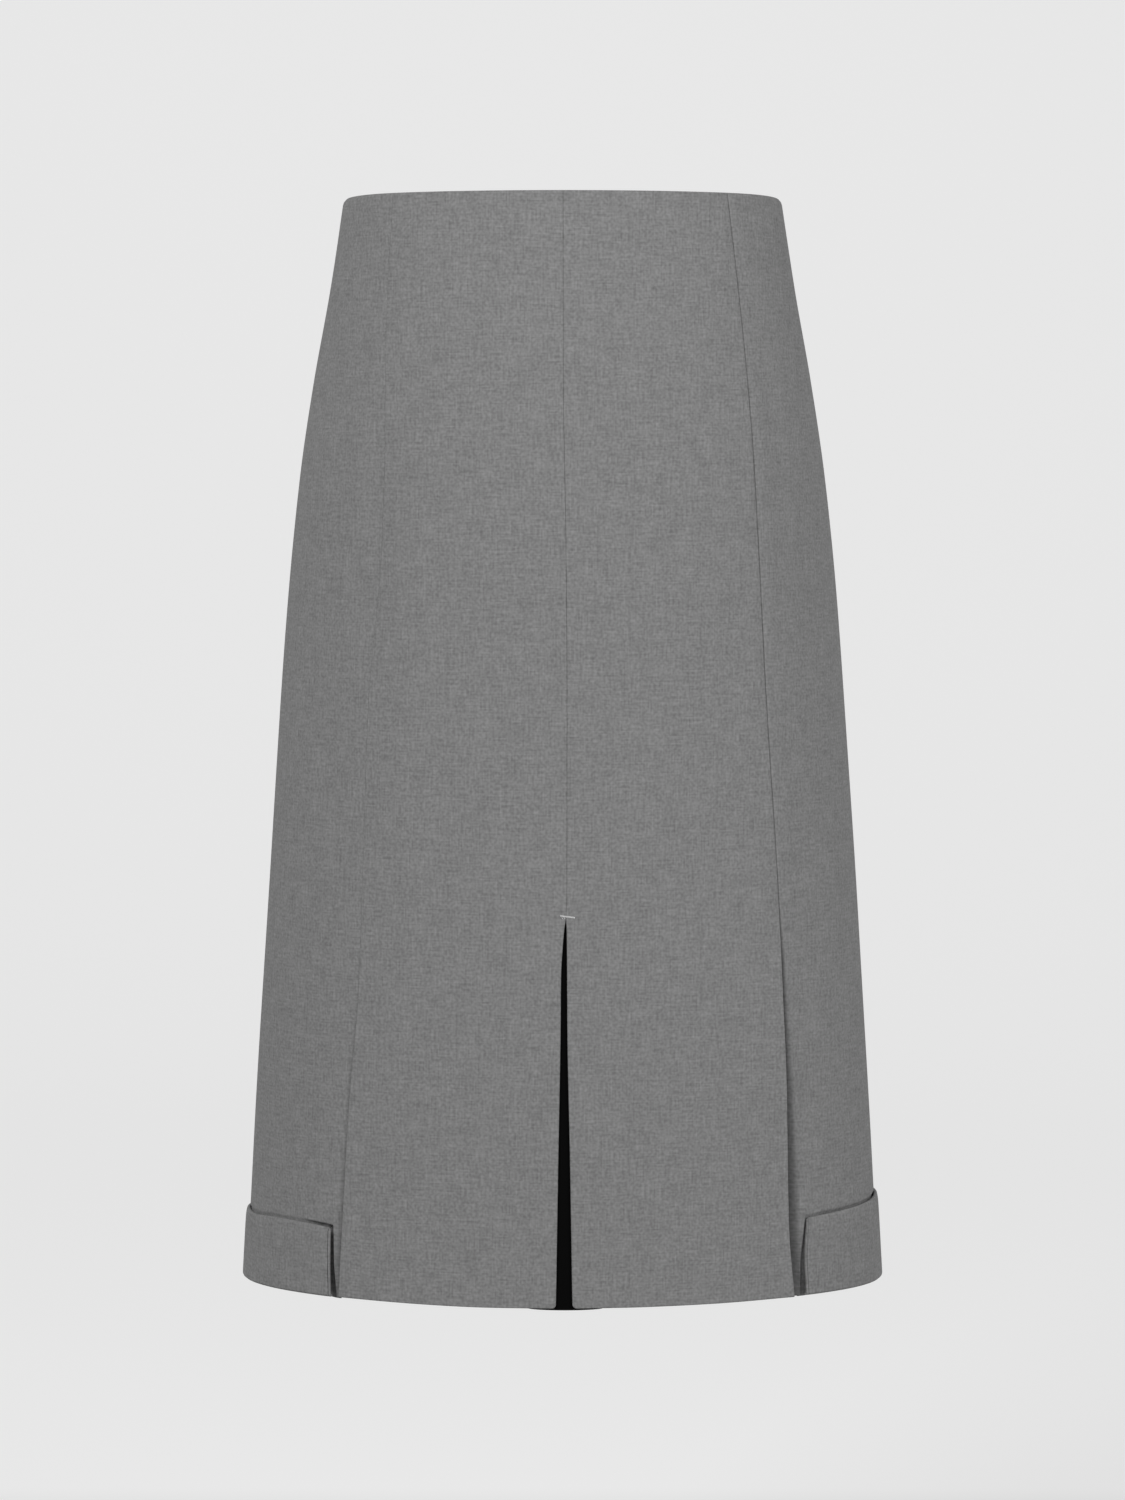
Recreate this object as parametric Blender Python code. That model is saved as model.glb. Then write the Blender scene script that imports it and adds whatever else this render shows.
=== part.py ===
"""Straight midi skirt, open at waist and hem, in the hollow form it has when worn.

Two front panels meet in a centre seam that opens low down into a slit over a dark underlay. A side
panel wraps each hip, and its front edge slips behind the front panel where the seam becomes a vent.
Each side panel's hem is turned up as a cuff. Two back panels meet in a centre back seam that holds a
concealed zip, with a slider and a swinging pull tab.

The origin is the centre of the waist opening, +Z is up and the front faces -Y. Left and right are as
seen from the front: left is -X. Lengths are in metres, and a drop is a distance below the waist.
"""

from collections import namedtuple
from math import asin, atan2, cos, pi, radians, sin

import bmesh
import bpy
from mathutils import Matrix, Vector

# ---- Driving dimensions ---------------------------------------------------------------------------

LENGTH = 0.707  # waist edge to hem, straight down
WALL = 0.0015  # suiting with its pressed allowances
GAP = 0.0003  # between pieces, at seams and between layers
UNDERLAY_WALL = 0.0010
TAPE_WALL = 0.0010
CUFF_WALL = 0.0025  # two layers of suiting
CUFF_FOLD = 0.0015  # cloth under the turned edge

# Level sections of the worn form: half an ellipse in front and half an ellipse behind.
Section = namedtuple("Section", "drop half_width front_depth back_depth")
SECTIONS = (
    Section(0.000, 0.1420, 0.0980, 0.1020),
    Section(0.060, 0.1512, 0.1100, 0.1180),
    Section(0.120, 0.1620, 0.1190, 0.1300),
    Section(0.180, 0.1710, 0.1240, 0.1360),
    Section(0.260, 0.1793, 0.1260, 0.1380),
    Section(0.380, 0.1882, 0.1260, 0.1360),
    Section(0.540, 0.1986, 0.1260, 0.1320),
    Section(LENGTH, 0.2082, 0.1260, 0.1300),
)

# How far each lengthwise seam lies from the middle plane. The two back seams are alike.
SeamRow = namedtuple("SeamRow", "drop left right back")
SEAMS = (
    SeamRow(0.000, 0.1080, 0.1045, 0.0960),
    SeamRow(0.070, 0.1115, 0.1117, 0.1010),
    SeamRow(0.150, 0.1128, 0.1188, 0.1100),
    SeamRow(0.230, 0.1155, 0.1243, 0.1170),
    SeamRow(0.320, 0.1235, 0.1290, 0.1220),
    SeamRow(0.440, 0.1275, 0.1368, 0.1280),
    SeamRow(0.510, 0.1305, 0.1408, 0.1310),
    SeamRow(0.570, 0.1360, 0.1440, 0.1335),
    SeamRow(0.660, 0.1417, 0.1453, 0.1370),
    SeamRow(LENGTH, 0.1444, 0.1490, 0.1390),
)

# The two front panels' edges at centre front: sewn above SLIT_TOP, a widening slit below it.
SLIT_TOP = 0.447
EdgeRow = namedtuple("EdgeRow", "drop left right")
CENTRE_EDGES = (
    EdgeRow(0.000, 0.0002, 0.0005),
    EdgeRow(0.120, 0.0003, 0.0006),
    EdgeRow(0.220, 0.0017, 0.0020),
    EdgeRow(0.320, 0.0023, 0.0026),
    EdgeRow(SLIT_TOP, 0.0024, 0.0027),
    EdgeRow(0.466, 0.0007, 0.0018),
    EdgeRow(0.495, -0.0008, 0.0021),
    EdgeRow(0.530, -0.0010, 0.0027),
    EdgeRow(0.610, -0.0024, 0.0039),
    EdgeRow(LENGTH, -0.0042, 0.0061),
)

# Beside each front seam the side panel sinks into a groove: how deep at the seam, and how wide.
VentRow = namedtuple("VentRow", "drop left_sink left_groove right_sink right_groove")
VENT_TOP = {"left": 0.495, "right": 0.466}
VENTS = (
    VentRow(0.000, 0.0000, 0.0030, 0.0000, 0.0030),
    VentRow(SLIT_TOP, 0.0000, 0.0030, 0.0000, 0.0030),
    VentRow(0.466, 0.0000, 0.0030, 0.0018, 0.0030),
    VentRow(0.495, 0.0018, 0.0030, 0.0022, 0.0034),
    VentRow(0.570, 0.0023, 0.0036, 0.0030, 0.0046),
    VentRow(0.650, 0.0030, 0.0044, 0.0045, 0.0072),
    VentRow(LENGTH, 0.0038, 0.0048, 0.0058, 0.0084),
)

# Height of each turned-up cuff above the hem, at its front end and at the side of the hip.
Cuff = namedtuple("Cuff", "front_height side_height")
CUFFS = {"left": Cuff(0.0475, 0.0490), "right": Cuff(0.0515, 0.0570)}

UNDERLAY_TOP_DROP = 0.380
UNDERLAY_DIP = 0.0013  # it hangs this much below the fronts' hem

# Centre back: the edges part a little at the top, where the slider's neck comes through.
BACK_EDGE_TOP = 0.0009
BACK_EDGE = 0.00015
BACK_EDGE_DROP = 0.030
ZIP_LENGTH = 0.180
SLIDER_DROP = 0.010  # of the pin that the pull turns on
PLATE = (0.0050, 0.0080, 0.0008)  # width, length, thickness of the slider's outer plate
PLATE_ABOVE = 0.6  # share of the outer plate that lies above the pin
KEEPER = (0.0070, 0.0090, 0.0012)  # width, length, thickness of its inner plate, behind the tapes
NECK_HALF = 0.0003  # half the width of the neck that joins the two plates through the seam
NECK_ABOVE = 0.0042  # how far the neck runs above and below the pin
NECK_BELOW = 0.0010
NECK_BITE = 0.0004  # how far the neck reaches into each plate
PIN_RADIUS = 0.0005
PIN_LIFT = 0.0027  # pin's centre above the cloth
EAR_INNER = 0.0015  # the ears' faces, from the middle plane
EAR_OUTER = 0.0023
EAR_HALF_LENGTH = 0.0012
EAR_ABOVE_PIN = 0.0009  # how far the ears rise above the pin's centre
EYE_RADIUS = 0.0013
EYE_HOLE_RADIUS = 0.0008
EYE_HALF = 0.0012
TAB_LENGTH = 0.0180
TAB_WIDTH = 0.0046
TAB_THICKNESS = 0.0010
TAB_ROOT_HALF = 0.00096  # half the tab's width where it leaves the eye
TAB_ROOT = 0.00078  # where it leaves the eye, from the pin's centre
TAB_LEAN = radians(5.0)  # the tab's tip leans in to the cloth
TAB_ARC_STEPS = 10

# ---- Grid ------------------------------------------------------------------------------------------

ROW_DROPS = (
    0.000, 0.030, 0.060, 0.090, 0.120, 0.150, 0.180, 0.220, 0.260, 0.320,
    0.380, SLIT_TOP, 0.466, 0.495, 0.530, 0.570, 0.610, 0.650, 0.680, LENGTH,
)
FRONT_SPLITS = (0.0, 0.10, 0.20, 0.36, 0.52, 0.70, 0.86, 1.0)
BACK_SPLITS = (0.0, 0.12, 0.28, 0.46, 0.64, 0.82, 1.0)
UNDERLAY_COLUMNS = 3  # of each front panel's columns, counted from the slit
UNDERLAP_COLUMNS = 2  # of the front panel's last columns that the side panel slips behind
SIDE_COLUMNS = 16
CREASE_ANGLE = radians(30.0)  # faces that meet more sharply than this show an edge

# ---- Finishes --------------------------------------------------------------------------------------

Finish = namedtuple("Finish", "colour roughness metallic")
SUITING = Finish((0.212, 0.212, 0.212, 1.0), 0.9, 0.0)
UNDERLAY = Finish((0.004, 0.004, 0.004, 1.0), 0.8, 0.0)
TAPE = Finish((0.16, 0.16, 0.16, 1.0), 0.8, 0.0)
ENAMEL = Finish((0.20, 0.20, 0.20, 1.0), 0.4, 0.0)

for old in list(bpy.data.objects):
    bpy.data.objects.remove(old, do_unlink=True)


def sign_of(side):
    """-1 on the left, where x is negative, and +1 on the right."""
    return -1.0 if side == "left" else 1.0


def between(table, column, drop):
    """One column of a table at a drop, on a smooth curve that never passes beyond its rows."""
    drops = [row.drop for row in table]
    values = [getattr(row, column) for row in table]
    slopes = [
        (values[i + 1] - values[i]) / (drops[i + 1] - drops[i]) for i in range(len(table) - 1)
    ]

    def tangent(i):
        if i == 0:
            return slopes[0]
        if i == len(slopes):
            return slopes[-1]
        before, after = slopes[i - 1], slopes[i]
        return 2.0 * before * after / (before + after) if before * after > 0.0 else 0.0

    if drop >= drops[-1]:
        return values[-1]
    i = max(k for k in range(len(slopes)) if drops[k] <= max(drop, drops[0]))
    span = drops[i + 1] - drops[i]
    t = (max(drop, drops[0]) - drops[i]) / span
    start, end = 1.0 - 3.0 * t**2 + 2.0 * t**3, 3.0 * t**2 - 2.0 * t**3
    leave, arrive = (t - 2.0 * t**2 + t**3) * span, (t**3 - t**2) * span
    return start * values[i] + end * values[i + 1] + leave * tangent(i) + arrive * tangent(i + 1)


def form_point(angle, drop, lift=0.0):
    """Point of the worn form. Angle 0 is centre front, +90 degrees the right side, 180 the back."""
    half_width = between(SECTIONS, "half_width", drop)
    depth = between(SECTIONS, "front_depth" if cos(angle) >= 0.0 else "back_depth", drop)
    outward = Vector((sin(angle) / half_width, -cos(angle) / depth, 0.0)).normalized()
    return Vector((half_width * sin(angle), -depth * cos(angle), -drop)) + lift * outward


def angle_at(x, drop):
    """Angle of the front half at a distance x from the middle plane."""
    return asin(x / between(SECTIONS, "half_width", drop))


# ---- Solids from grids -----------------------------------------------------------------------------


def solid_from(name, bm, made_of, smooth=True):
    """Turn a bmesh into a named object with its own material and its faces pointing out."""
    if bm.calc_volume(signed=True) < 0.0:
        bmesh.ops.reverse_faces(bm, faces=bm.faces)
    mesh = bpy.data.meshes.new(name)
    bm.to_mesh(mesh)
    bm.free()
    mesh.materials.append(made_of)
    if smooth:
        mesh.shade_smooth()
        mesh.set_sharp_from_angle(angle=CREASE_ANGLE)
    thing = bpy.data.objects.new(name, mesh)
    bpy.context.scene.collection.objects.link(thing)
    return thing


def material(name, look):
    """A plain Principled material with the colour, roughness and metallic value of a finish."""
    made = bpy.data.materials.new(name)
    made.use_nodes = True
    shader = made.node_tree.nodes["Principled BSDF"]
    shader.inputs["Base Color"].default_value = look.colour
    shader.inputs["Roughness"].default_value = look.roughness
    shader.inputs["Metallic"].default_value = look.metallic
    return made


def cloth_wall(name, outer, inner, made_of, cells=None):
    """Closed wall between two grids of points, over the given cells (row, column) or all of them."""
    rows, columns = len(outer), len(outer[0])
    cells = cells or {(i, j) for i in range(rows - 1) for j in range(columns - 1)}
    corners = {(i + di, j + dj) for i, j in cells for di in (0, 1) for dj in (0, 1)}
    bm = bmesh.new()
    skins = [{key: bm.verts.new(grid[key[0]][key[1]]) for key in sorted(corners)} for grid in (outer, inner)]
    edges = set()
    for i, j in sorted(cells):
        for loop in (((i, j), (i + 1, j), (i + 1, j + 1)), ((i, j), (i + 1, j + 1), (i, j + 1))):
            bm.faces.new([skins[0][key] for key in loop])
            bm.faces.new([skins[1][key] for key in reversed(loop)])
            edges.update(zip(loop, loop[1:] + loop[:1]))
    for a, b in sorted(edges):
        if (b, a) not in edges:
            bm.faces.new((skins[0][b], skins[0][a], skins[1][a]))
            bm.faces.new((skins[0][b], skins[1][a], skins[1][b]))
    return solid_from(name, bm, made_of)


def swept_profile(name, profiles, made_of):
    """Closed solid from equal rings of points, one ring after another, with its two ends filled."""
    bm = bmesh.new()
    rings = [[bm.verts.new(point) for point in ring] for ring in profiles]
    count = len(rings[0])
    for ring, following in zip(rings, rings[1:]):
        for k in range(count):
            n = (k + 1) % count
            bm.faces.new((ring[k], ring[n], following[n]))
            bm.faces.new((ring[k], following[n], following[k]))
    bm.faces.new(list(reversed(rings[0])))
    bm.faces.new(rings[-1])
    return solid_from(name, bm, made_of)


def grid_of(angles_at, drops, lifts_at):
    """Grid of form points: angles_at(drop) and lifts_at(drop) give one value for each column."""
    return [
        [form_point(angle, drop, lift) for angle, lift in zip(angles_at(drop), lifts_at(drop))]
        for drop in drops
    ]


# ---- Where each panel's columns run ----------------------------------------------------------------


def front_angles(side, drop):
    """A front panel's columns, from the centre edge to the seam with the side panel."""
    centre = between(CENTRE_EDGES, side, drop)
    seam = sign_of(side) * (between(SEAMS, side, drop) - GAP / 2.0)
    start, end = angle_at(centre, drop), angle_at(seam, drop)
    return [start + (end - start) * split for split in FRONT_SPLITS]


def back_angles(side, drop):
    """A back panel's columns, from the centre back edge to the seam with the side panel."""
    spread = max(0.0, 1.0 - drop / BACK_EDGE_DROP)
    centre = BACK_EDGE + (BACK_EDGE_TOP - BACK_EDGE) * spread
    seam = between(SEAMS, "back", drop) - GAP / 2.0
    start, end = pi - angle_at(centre, drop), pi - angle_at(seam, drop)
    return [sign_of(side) * (start + (end - start) * split) for split in BACK_SPLITS]


def side_angles(side, drop):
    """A side panel's columns: two behind the front panel, three in the groove, the rest to the back."""
    sign = sign_of(side)
    seam = between(SEAMS, side, drop)
    groove = between(VENTS, side + "_groove", drop)
    behind_front = [abs(angle) for angle in front_angles(side, drop)[-UNDERLAP_COLUMNS:]]
    in_groove = [angle_at(seam + GAP / 2.0 + groove * part, drop) for part in (0.0, 0.5, 1.0)]
    start = in_groove[-1]
    end = pi - angle_at(between(SEAMS, "back", drop) + GAP / 2.0, drop)
    wrapped = [start + (end - start) * k / SIDE_COLUMNS for k in range(1, SIDE_COLUMNS + 1)]
    return [sign * angle for angle in behind_front + in_groove + wrapped]


GROOVE_START = UNDERLAP_COLUMNS
CUFF_START = GROOVE_START + 2


def side_lifts(side, drop):
    """How far the side panel's outer face lies from the form: behind the front, then up the groove."""
    sink = between(VENTS, side + "_sink", drop)
    behind_front = [-(WALL + GAP), -max(sink, WALL + GAP)]
    in_groove = [-sink, -sink / 2.0, 0.0]
    return behind_front + in_groove + [0.0] * SIDE_COLUMNS


# ---- Pieces ----------------------------------------------------------------------------------------


def front_panel(side, suiting):
    """One half of the front, from the centre seam and slit to the seam over the hip."""

    def angles(drop):
        return front_angles(side, drop)

    outer = grid_of(angles, ROW_DROPS, lambda drop: [0.0] * len(FRONT_SPLITS))
    inner = grid_of(angles, ROW_DROPS, lambda drop: [-WALL] * len(FRONT_SPLITS))
    return cloth_wall("front_" + side, outer, inner, suiting)


def back_panel(side, suiting):
    """One half of the back, from the centre back seam to the seam with the side panel."""

    def angles(drop):
        return back_angles(side, drop)

    outer = grid_of(angles, ROW_DROPS, lambda drop: [0.0] * len(BACK_SPLITS))
    inner = grid_of(angles, ROW_DROPS, lambda drop: [-WALL] * len(BACK_SPLITS))
    return cloth_wall("back_" + side, outer, inner, suiting)


def side_panel(side, suiting):
    """The panel round one hip. Below the vent's top its front edge runs on behind the front panel."""
    above_fold = LENGTH - CUFF_FOLD - GAP
    drops = ROW_DROPS[:-1] + (above_fold,)

    def angles(drop):
        return side_angles(side, drop)

    outer = grid_of(angles, drops, lambda drop: side_lifts(side, drop))
    inner = grid_of(angles, drops, lambda drop: [lift - WALL for lift in side_lifts(side, drop)])
    cells = {
        (i, j)
        for i in range(len(drops) - 1)
        for j in range(len(outer[0]) - 1)
        if j >= GROOVE_START or drops[i] >= VENT_TOP[side]
    }
    return cloth_wall("side_" + side, outer, inner, suiting, cells)


def cuff_height(side, angle):
    """Height of the cuff's top edge, which rises from its front end to the side of the hip."""
    low = abs(side_angles(side, LENGTH)[CUFF_START])
    part = min(1.0, (abs(angle) - low) / (pi / 2.0 - low))
    return CUFFS[side].front_height + (CUFFS[side].side_height - CUFFS[side].front_height) * part


def cuff(side, suiting):
    """The side panel's hem turned up on its outside: a band whose fold passes under the panel's edge."""
    profiles = []
    for column in range(CUFF_START, len(side_angles(side, LENGTH))):

        def place(drop, lift):
            return form_point(side_angles(side, drop)[column], drop, lift)

        top = LENGTH - cuff_height(side, side_angles(side, LENGTH)[column])
        fold = LENGTH - CUFF_FOLD
        ring = (
            place(top, GAP + CUFF_WALL),
            place(LENGTH, GAP + CUFF_WALL),
            place(LENGTH, -WALL),
            place(fold, -WALL),
            place(fold, GAP),
            place(top, GAP),
        )
        profiles.append(ring)
    return swept_profile("cuff_" + side, profiles, suiting)


def slit_underlay(dark_cloth):
    """Dark cloth behind the slit, made from the two fronts' own points moved in."""
    drops = [drop for drop in ROW_DROPS if drop >= UNDERLAY_TOP_DROP]

    def angles(drop):
        left = front_angles("left", drop)[:UNDERLAY_COLUMNS]
        right = front_angles("right", drop)[:UNDERLAY_COLUMNS]
        return list(reversed(left)) + right

    count = 2 * UNDERLAY_COLUMNS
    outer = grid_of(angles, drops, lambda drop: [-(WALL + GAP)] * count)
    inner = grid_of(angles, drops, lambda drop: [-(WALL + GAP + UNDERLAY_WALL)] * count)
    for skin in (outer, inner):
        for point in skin[-1][1:-1]:
            point.z -= UNDERLAY_DIP
    return cloth_wall("slit_underlay", outer, inner, dark_cloth)


def zip_tape(side, tape):
    """Half of the zip's tape, made from the back panel's own points moved in."""
    drops = [drop for drop in ROW_DROPS if drop <= ZIP_LENGTH]

    def angles(drop):
        return back_angles(side, drop)[:2]

    outer = grid_of(angles, drops, lambda drop: [-(WALL + GAP)] * 2)
    inner = grid_of(angles, drops, lambda drop: [-(WALL + GAP + TAPE_WALL)] * 2)
    return cloth_wall("zip_tape_" + side, outer, inner, tape)


# ---- Slider and pull, in their own frame: X across, Y down the seam, Z out of the cloth --------------


def box(low, high):
    """Bmesh of a box between two corners."""
    bm = bmesh.new()
    size = Vector(high) - Vector(low)
    middle = (Vector(high) + Vector(low)) / 2.0
    bmesh.ops.create_cube(bm, size=1.0, matrix=Matrix.Translation(middle) @ Matrix.Diagonal((*size, 1.0)))
    return bm


def rod(radius, half_length, centre, segments=16):
    """Bmesh of a rod along X."""
    bm = bmesh.new()
    turn = Matrix.Rotation(pi / 2.0, 4, "Y")
    bmesh.ops.create_cone(
        bm,
        cap_ends=True,
        segments=segments,
        radius1=radius,
        radius2=radius,
        depth=2.0 * half_length,
        matrix=Matrix.Translation(centre) @ turn,
    )
    return bm


def tab_outline():
    """Tab seen from outside: narrow at the eye, widest near its round end."""
    half_end = TAB_WIDTH / 2.0
    end_centre = TAB_LENGTH - half_end
    arc = [
        Vector((half_end * cos(turn), end_centre + half_end * sin(turn), 0.0))
        for turn in [pi * k / TAB_ARC_STEPS for k in range(TAB_ARC_STEPS + 1)]
    ]
    return [Vector((-TAB_ROOT_HALF, TAB_ROOT, 0.0)), Vector((TAB_ROOT_HALF, TAB_ROOT, 0.0))] + arc


def plate_from(outline, thickness):
    """Bmesh of an outline in the XY plane, given a thickness along Z about that plane."""
    bm = bmesh.new()
    low = [bm.verts.new(point - Vector((0.0, 0.0, thickness / 2.0))) for point in outline]
    high = [bm.verts.new(point + Vector((0.0, 0.0, thickness / 2.0))) for point in outline]
    bm.faces.new(list(reversed(low)))
    bm.faces.new(high)
    for k in range(len(outline)):
        n = (k + 1) % len(outline)
        bm.faces.new((low[k], low[n], high[n], high[k]))
    return bm


def joined(name, pieces, made_of, cut=None):
    """Union of several bmeshes as one object, less an optional cutter, with the modifiers applied."""
    blocks = [solid_from(name + "_piece", bm, made_of, smooth=False) for bm in pieces]
    base = blocks[0]
    base.name = name
    cutters = [(block, "UNION") for block in blocks[1:]]
    if cut:
        cutters.append((solid_from(name + "_cut", cut, made_of, smooth=False), "DIFFERENCE"))
    for cutter, operation in cutters:
        modifier = base.modifiers.new("join", "BOOLEAN")
        modifier.operation = operation
        modifier.solver = "EXACT"
        modifier.object = cutter
    bpy.context.view_layer.update()
    solid = base.evaluated_get(bpy.context.evaluated_depsgraph_get())
    mesh = bpy.data.meshes.new_from_object(solid)
    base.modifiers.clear()
    base.data = mesh
    mesh.name = name
    for cutter, _ in cutters:
        bpy.data.objects.remove(cutter, do_unlink=True)
    mesh.shade_smooth()
    mesh.set_sharp_from_angle(angle=CREASE_ANGLE)
    return base


def seat_on_back(thing, drop, lift):
    """Place a piece built in the seam's frame on the centre back, at a drop and a lift."""
    top, low = form_point(pi, 0.0), form_point(pi, BACK_EDGE_DROP)
    slope = atan2(low.y - top.y, top.z - low.z)
    along = Vector((0.0, sin(slope), -cos(slope)))
    out = Vector((0.0, cos(slope), sin(slope)))
    thing.location = top + along * (drop / cos(slope)) + out * lift
    thing.rotation_euler = (slope - pi / 2.0, 0.0, 0.0)


def zip_slider(metal):
    """Slider: an outer plate with two ears and a pin, a neck through the seam and a plate inside."""
    width, length, thickness = PLATE
    plate_low, plate_high = GAP, GAP + thickness
    plate_top, plate_end = -length * PLATE_ABOVE, length * (1.0 - PLATE_ABOVE)
    ear_low, ear_high = plate_low + thickness / 2.0, PIN_LIFT + EAR_ABOVE_PIN
    behind = -(WALL + GAP + TAPE_WALL + 2.0 * GAP)
    pieces = [box((-width / 2.0, plate_top, plate_low), (width / 2.0, plate_end, plate_high))]
    for sign in (-1.0, 1.0):
        left, right = sorted((sign * EAR_INNER, sign * EAR_OUTER))
        pieces.append(box((left, -EAR_HALF_LENGTH, ear_low), (right, EAR_HALF_LENGTH, ear_high)))
    pieces.append(rod(PIN_RADIUS, (EAR_INNER + EAR_OUTER) / 2.0, Vector((0.0, 0.0, PIN_LIFT))))
    pieces.append(
        box(
            (-NECK_HALF, -NECK_ABOVE, behind - NECK_BITE),
            (NECK_HALF, NECK_BELOW, plate_low + NECK_BITE),
        )
    )
    keeper_width, keeper_length, keeper_thickness = KEEPER
    pieces.append(
        box(
            (-keeper_width / 2.0, -keeper_length / 2.0, behind - keeper_thickness),
            (keeper_width / 2.0, keeper_length / 2.0, behind),
        )
    )
    slider = joined("zip_slider", pieces, metal)
    seat_on_back(slider, SLIDER_DROP, 0.0)
    return slider


def zip_pull(metal):
    """Pull tab: a drop-shaped tab whose eye goes round the slider's pin. Its origin is the pin's axis."""
    tab = plate_from(tab_outline(), TAB_THICKNESS)
    bmesh.ops.rotate(tab, verts=tab.verts, cent=Vector(), matrix=Matrix.Rotation(-TAB_LEAN, 3, "X"))
    eye = rod(EYE_RADIUS, EYE_HALF, Vector())
    hole = rod(EYE_HOLE_RADIUS, 2.0 * EYE_HALF, Vector())
    pull = joined("zip_pull", [eye, tab], metal, cut=hole)
    seat_on_back(pull, SLIDER_DROP, PIN_LIFT)
    return pull


def build():
    """Make every piece of the skirt."""
    for side in ("left", "right"):
        front_panel(side, material("suiting_front_" + side, SUITING))
        side_panel(side, material("suiting_side_" + side, SUITING))
        cuff(side, material("suiting_cuff_" + side, SUITING))
        back_panel(side, material("suiting_back_" + side, SUITING))
        zip_tape(side, material("tape_" + side, TAPE))
    slit_underlay(material("underlay", UNDERLAY))
    zip_slider(material("enamel_slider", ENAMEL))
    zip_pull(material("enamel_pull", ENAMEL))


build()
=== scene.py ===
# %% [markdown]
# # A straight midi skirt in grey suiting
#
# The skirt is sewn from six long panels: two fronts, two side panels that wrap the hips, and two backs.
# It is shown filled out, as when worn, with its waist and hem open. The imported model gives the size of
# every piece, and this lesson dresses it: thin cloth with soft folds, pressed seams, a slit over black
# cloth, two side vents, turned-up cuffs and a concealed zip at the back.
#
# Lengths are in metres. A drop is a distance below the waist edge, the front faces -Y, and left and
# right are as seen from the front, so left is -X.

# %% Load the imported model
from collections import namedtuple
from math import ceil, cos, pi, radians, sin

import bpy
import numpy as np
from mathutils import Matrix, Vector


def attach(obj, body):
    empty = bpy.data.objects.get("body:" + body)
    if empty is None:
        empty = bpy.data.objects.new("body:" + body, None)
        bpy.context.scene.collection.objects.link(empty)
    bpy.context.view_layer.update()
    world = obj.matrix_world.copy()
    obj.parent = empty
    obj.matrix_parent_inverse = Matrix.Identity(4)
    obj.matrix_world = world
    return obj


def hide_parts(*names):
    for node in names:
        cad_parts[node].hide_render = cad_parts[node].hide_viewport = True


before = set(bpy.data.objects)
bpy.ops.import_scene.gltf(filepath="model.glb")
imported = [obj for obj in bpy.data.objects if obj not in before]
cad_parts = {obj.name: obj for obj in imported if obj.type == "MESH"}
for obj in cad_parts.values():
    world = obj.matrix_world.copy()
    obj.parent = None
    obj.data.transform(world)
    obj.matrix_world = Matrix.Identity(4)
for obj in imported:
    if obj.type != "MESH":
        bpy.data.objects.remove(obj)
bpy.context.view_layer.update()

# %% [markdown]
# ## Camera
#
# The picture was taken with a long lens from a little above the middle of the skirt, so the waist edge
# curves up and the hem curves down. A long lens could be faked with an orthographic camera, but then the
# two curves would be equally strong. A real position and focal length keep them right.

# %% Camera
CAMERA_PLACE = (0.0, -3.2, -0.1641)
CAMERA_TILT = radians(3.5)  # downwards
CAMERA_LENS = 117.46  # mm, for a picture whose long side is as long as the sensor's
SENSOR = 36.0

camera = bpy.data.objects.new("camera", bpy.data.cameras.new("camera"))
camera.data.sensor_fit = "AUTO"
camera.data.sensor_width = SENSOR
camera.data.lens = CAMERA_LENS
camera.location = CAMERA_PLACE
camera.rotation_euler = (pi / 2.0 - CAMERA_TILT, 0.0, 0.0)
bpy.context.scene.collection.objects.link(camera)
bpy.context.scene.camera = camera
print("camera is", round(-CAMERA_PLACE[1], 2), "m in front of the waist's centre")

# %% [markdown]
# ## The worn form
#
# Every panel lies on one hollow form: half an ellipse in front and half an ellipse behind, at each
# height. A table holds a few level sections, and a smooth curve runs between its rows. Sculpting the
# form by hand would work too, but with a rule the panels meet exactly, because each seam is one line
# of the same form. Numpy works out whole grids of points at once.

# %% Tables of the form and its seams
LENGTH = 0.707  # waist edge to hem

Section = namedtuple("Section", "drop half_width front_depth back_depth")
SECTIONS = (
    Section(0.000, 0.1420, 0.0980, 0.1020),
    Section(0.060, 0.1512, 0.1100, 0.1180),
    Section(0.120, 0.1620, 0.1190, 0.1300),
    Section(0.180, 0.1710, 0.1240, 0.1360),
    Section(0.260, 0.1793, 0.1260, 0.1380),
    Section(0.380, 0.1882, 0.1260, 0.1360),
    Section(0.540, 0.1986, 0.1260, 0.1320),
    Section(LENGTH, 0.2082, 0.1260, 0.1300),
)

# How far each lengthwise seam lies from the middle plane. The two back seams are alike.
Seam = namedtuple("Seam", "drop left right back")
SEAMS = (
    Seam(0.000, 0.1080, 0.1053, 0.0960),
    Seam(0.070, 0.1115, 0.1131, 0.1010),
    Seam(0.150, 0.1128, 0.1200, 0.1100),
    Seam(0.230, 0.1155, 0.1248, 0.1170),
    Seam(0.320, 0.1235, 0.1294, 0.1220),
    Seam(0.440, 0.1275, 0.1370, 0.1280),
    Seam(0.510, 0.1305, 0.1406, 0.1310),
    Seam(0.570, 0.1356, 0.1435, 0.1335),
    Seam(0.660, 0.1410, 0.1453, 0.1370),
    Seam(LENGTH, 0.1437, 0.1490, 0.1390),
)

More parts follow.
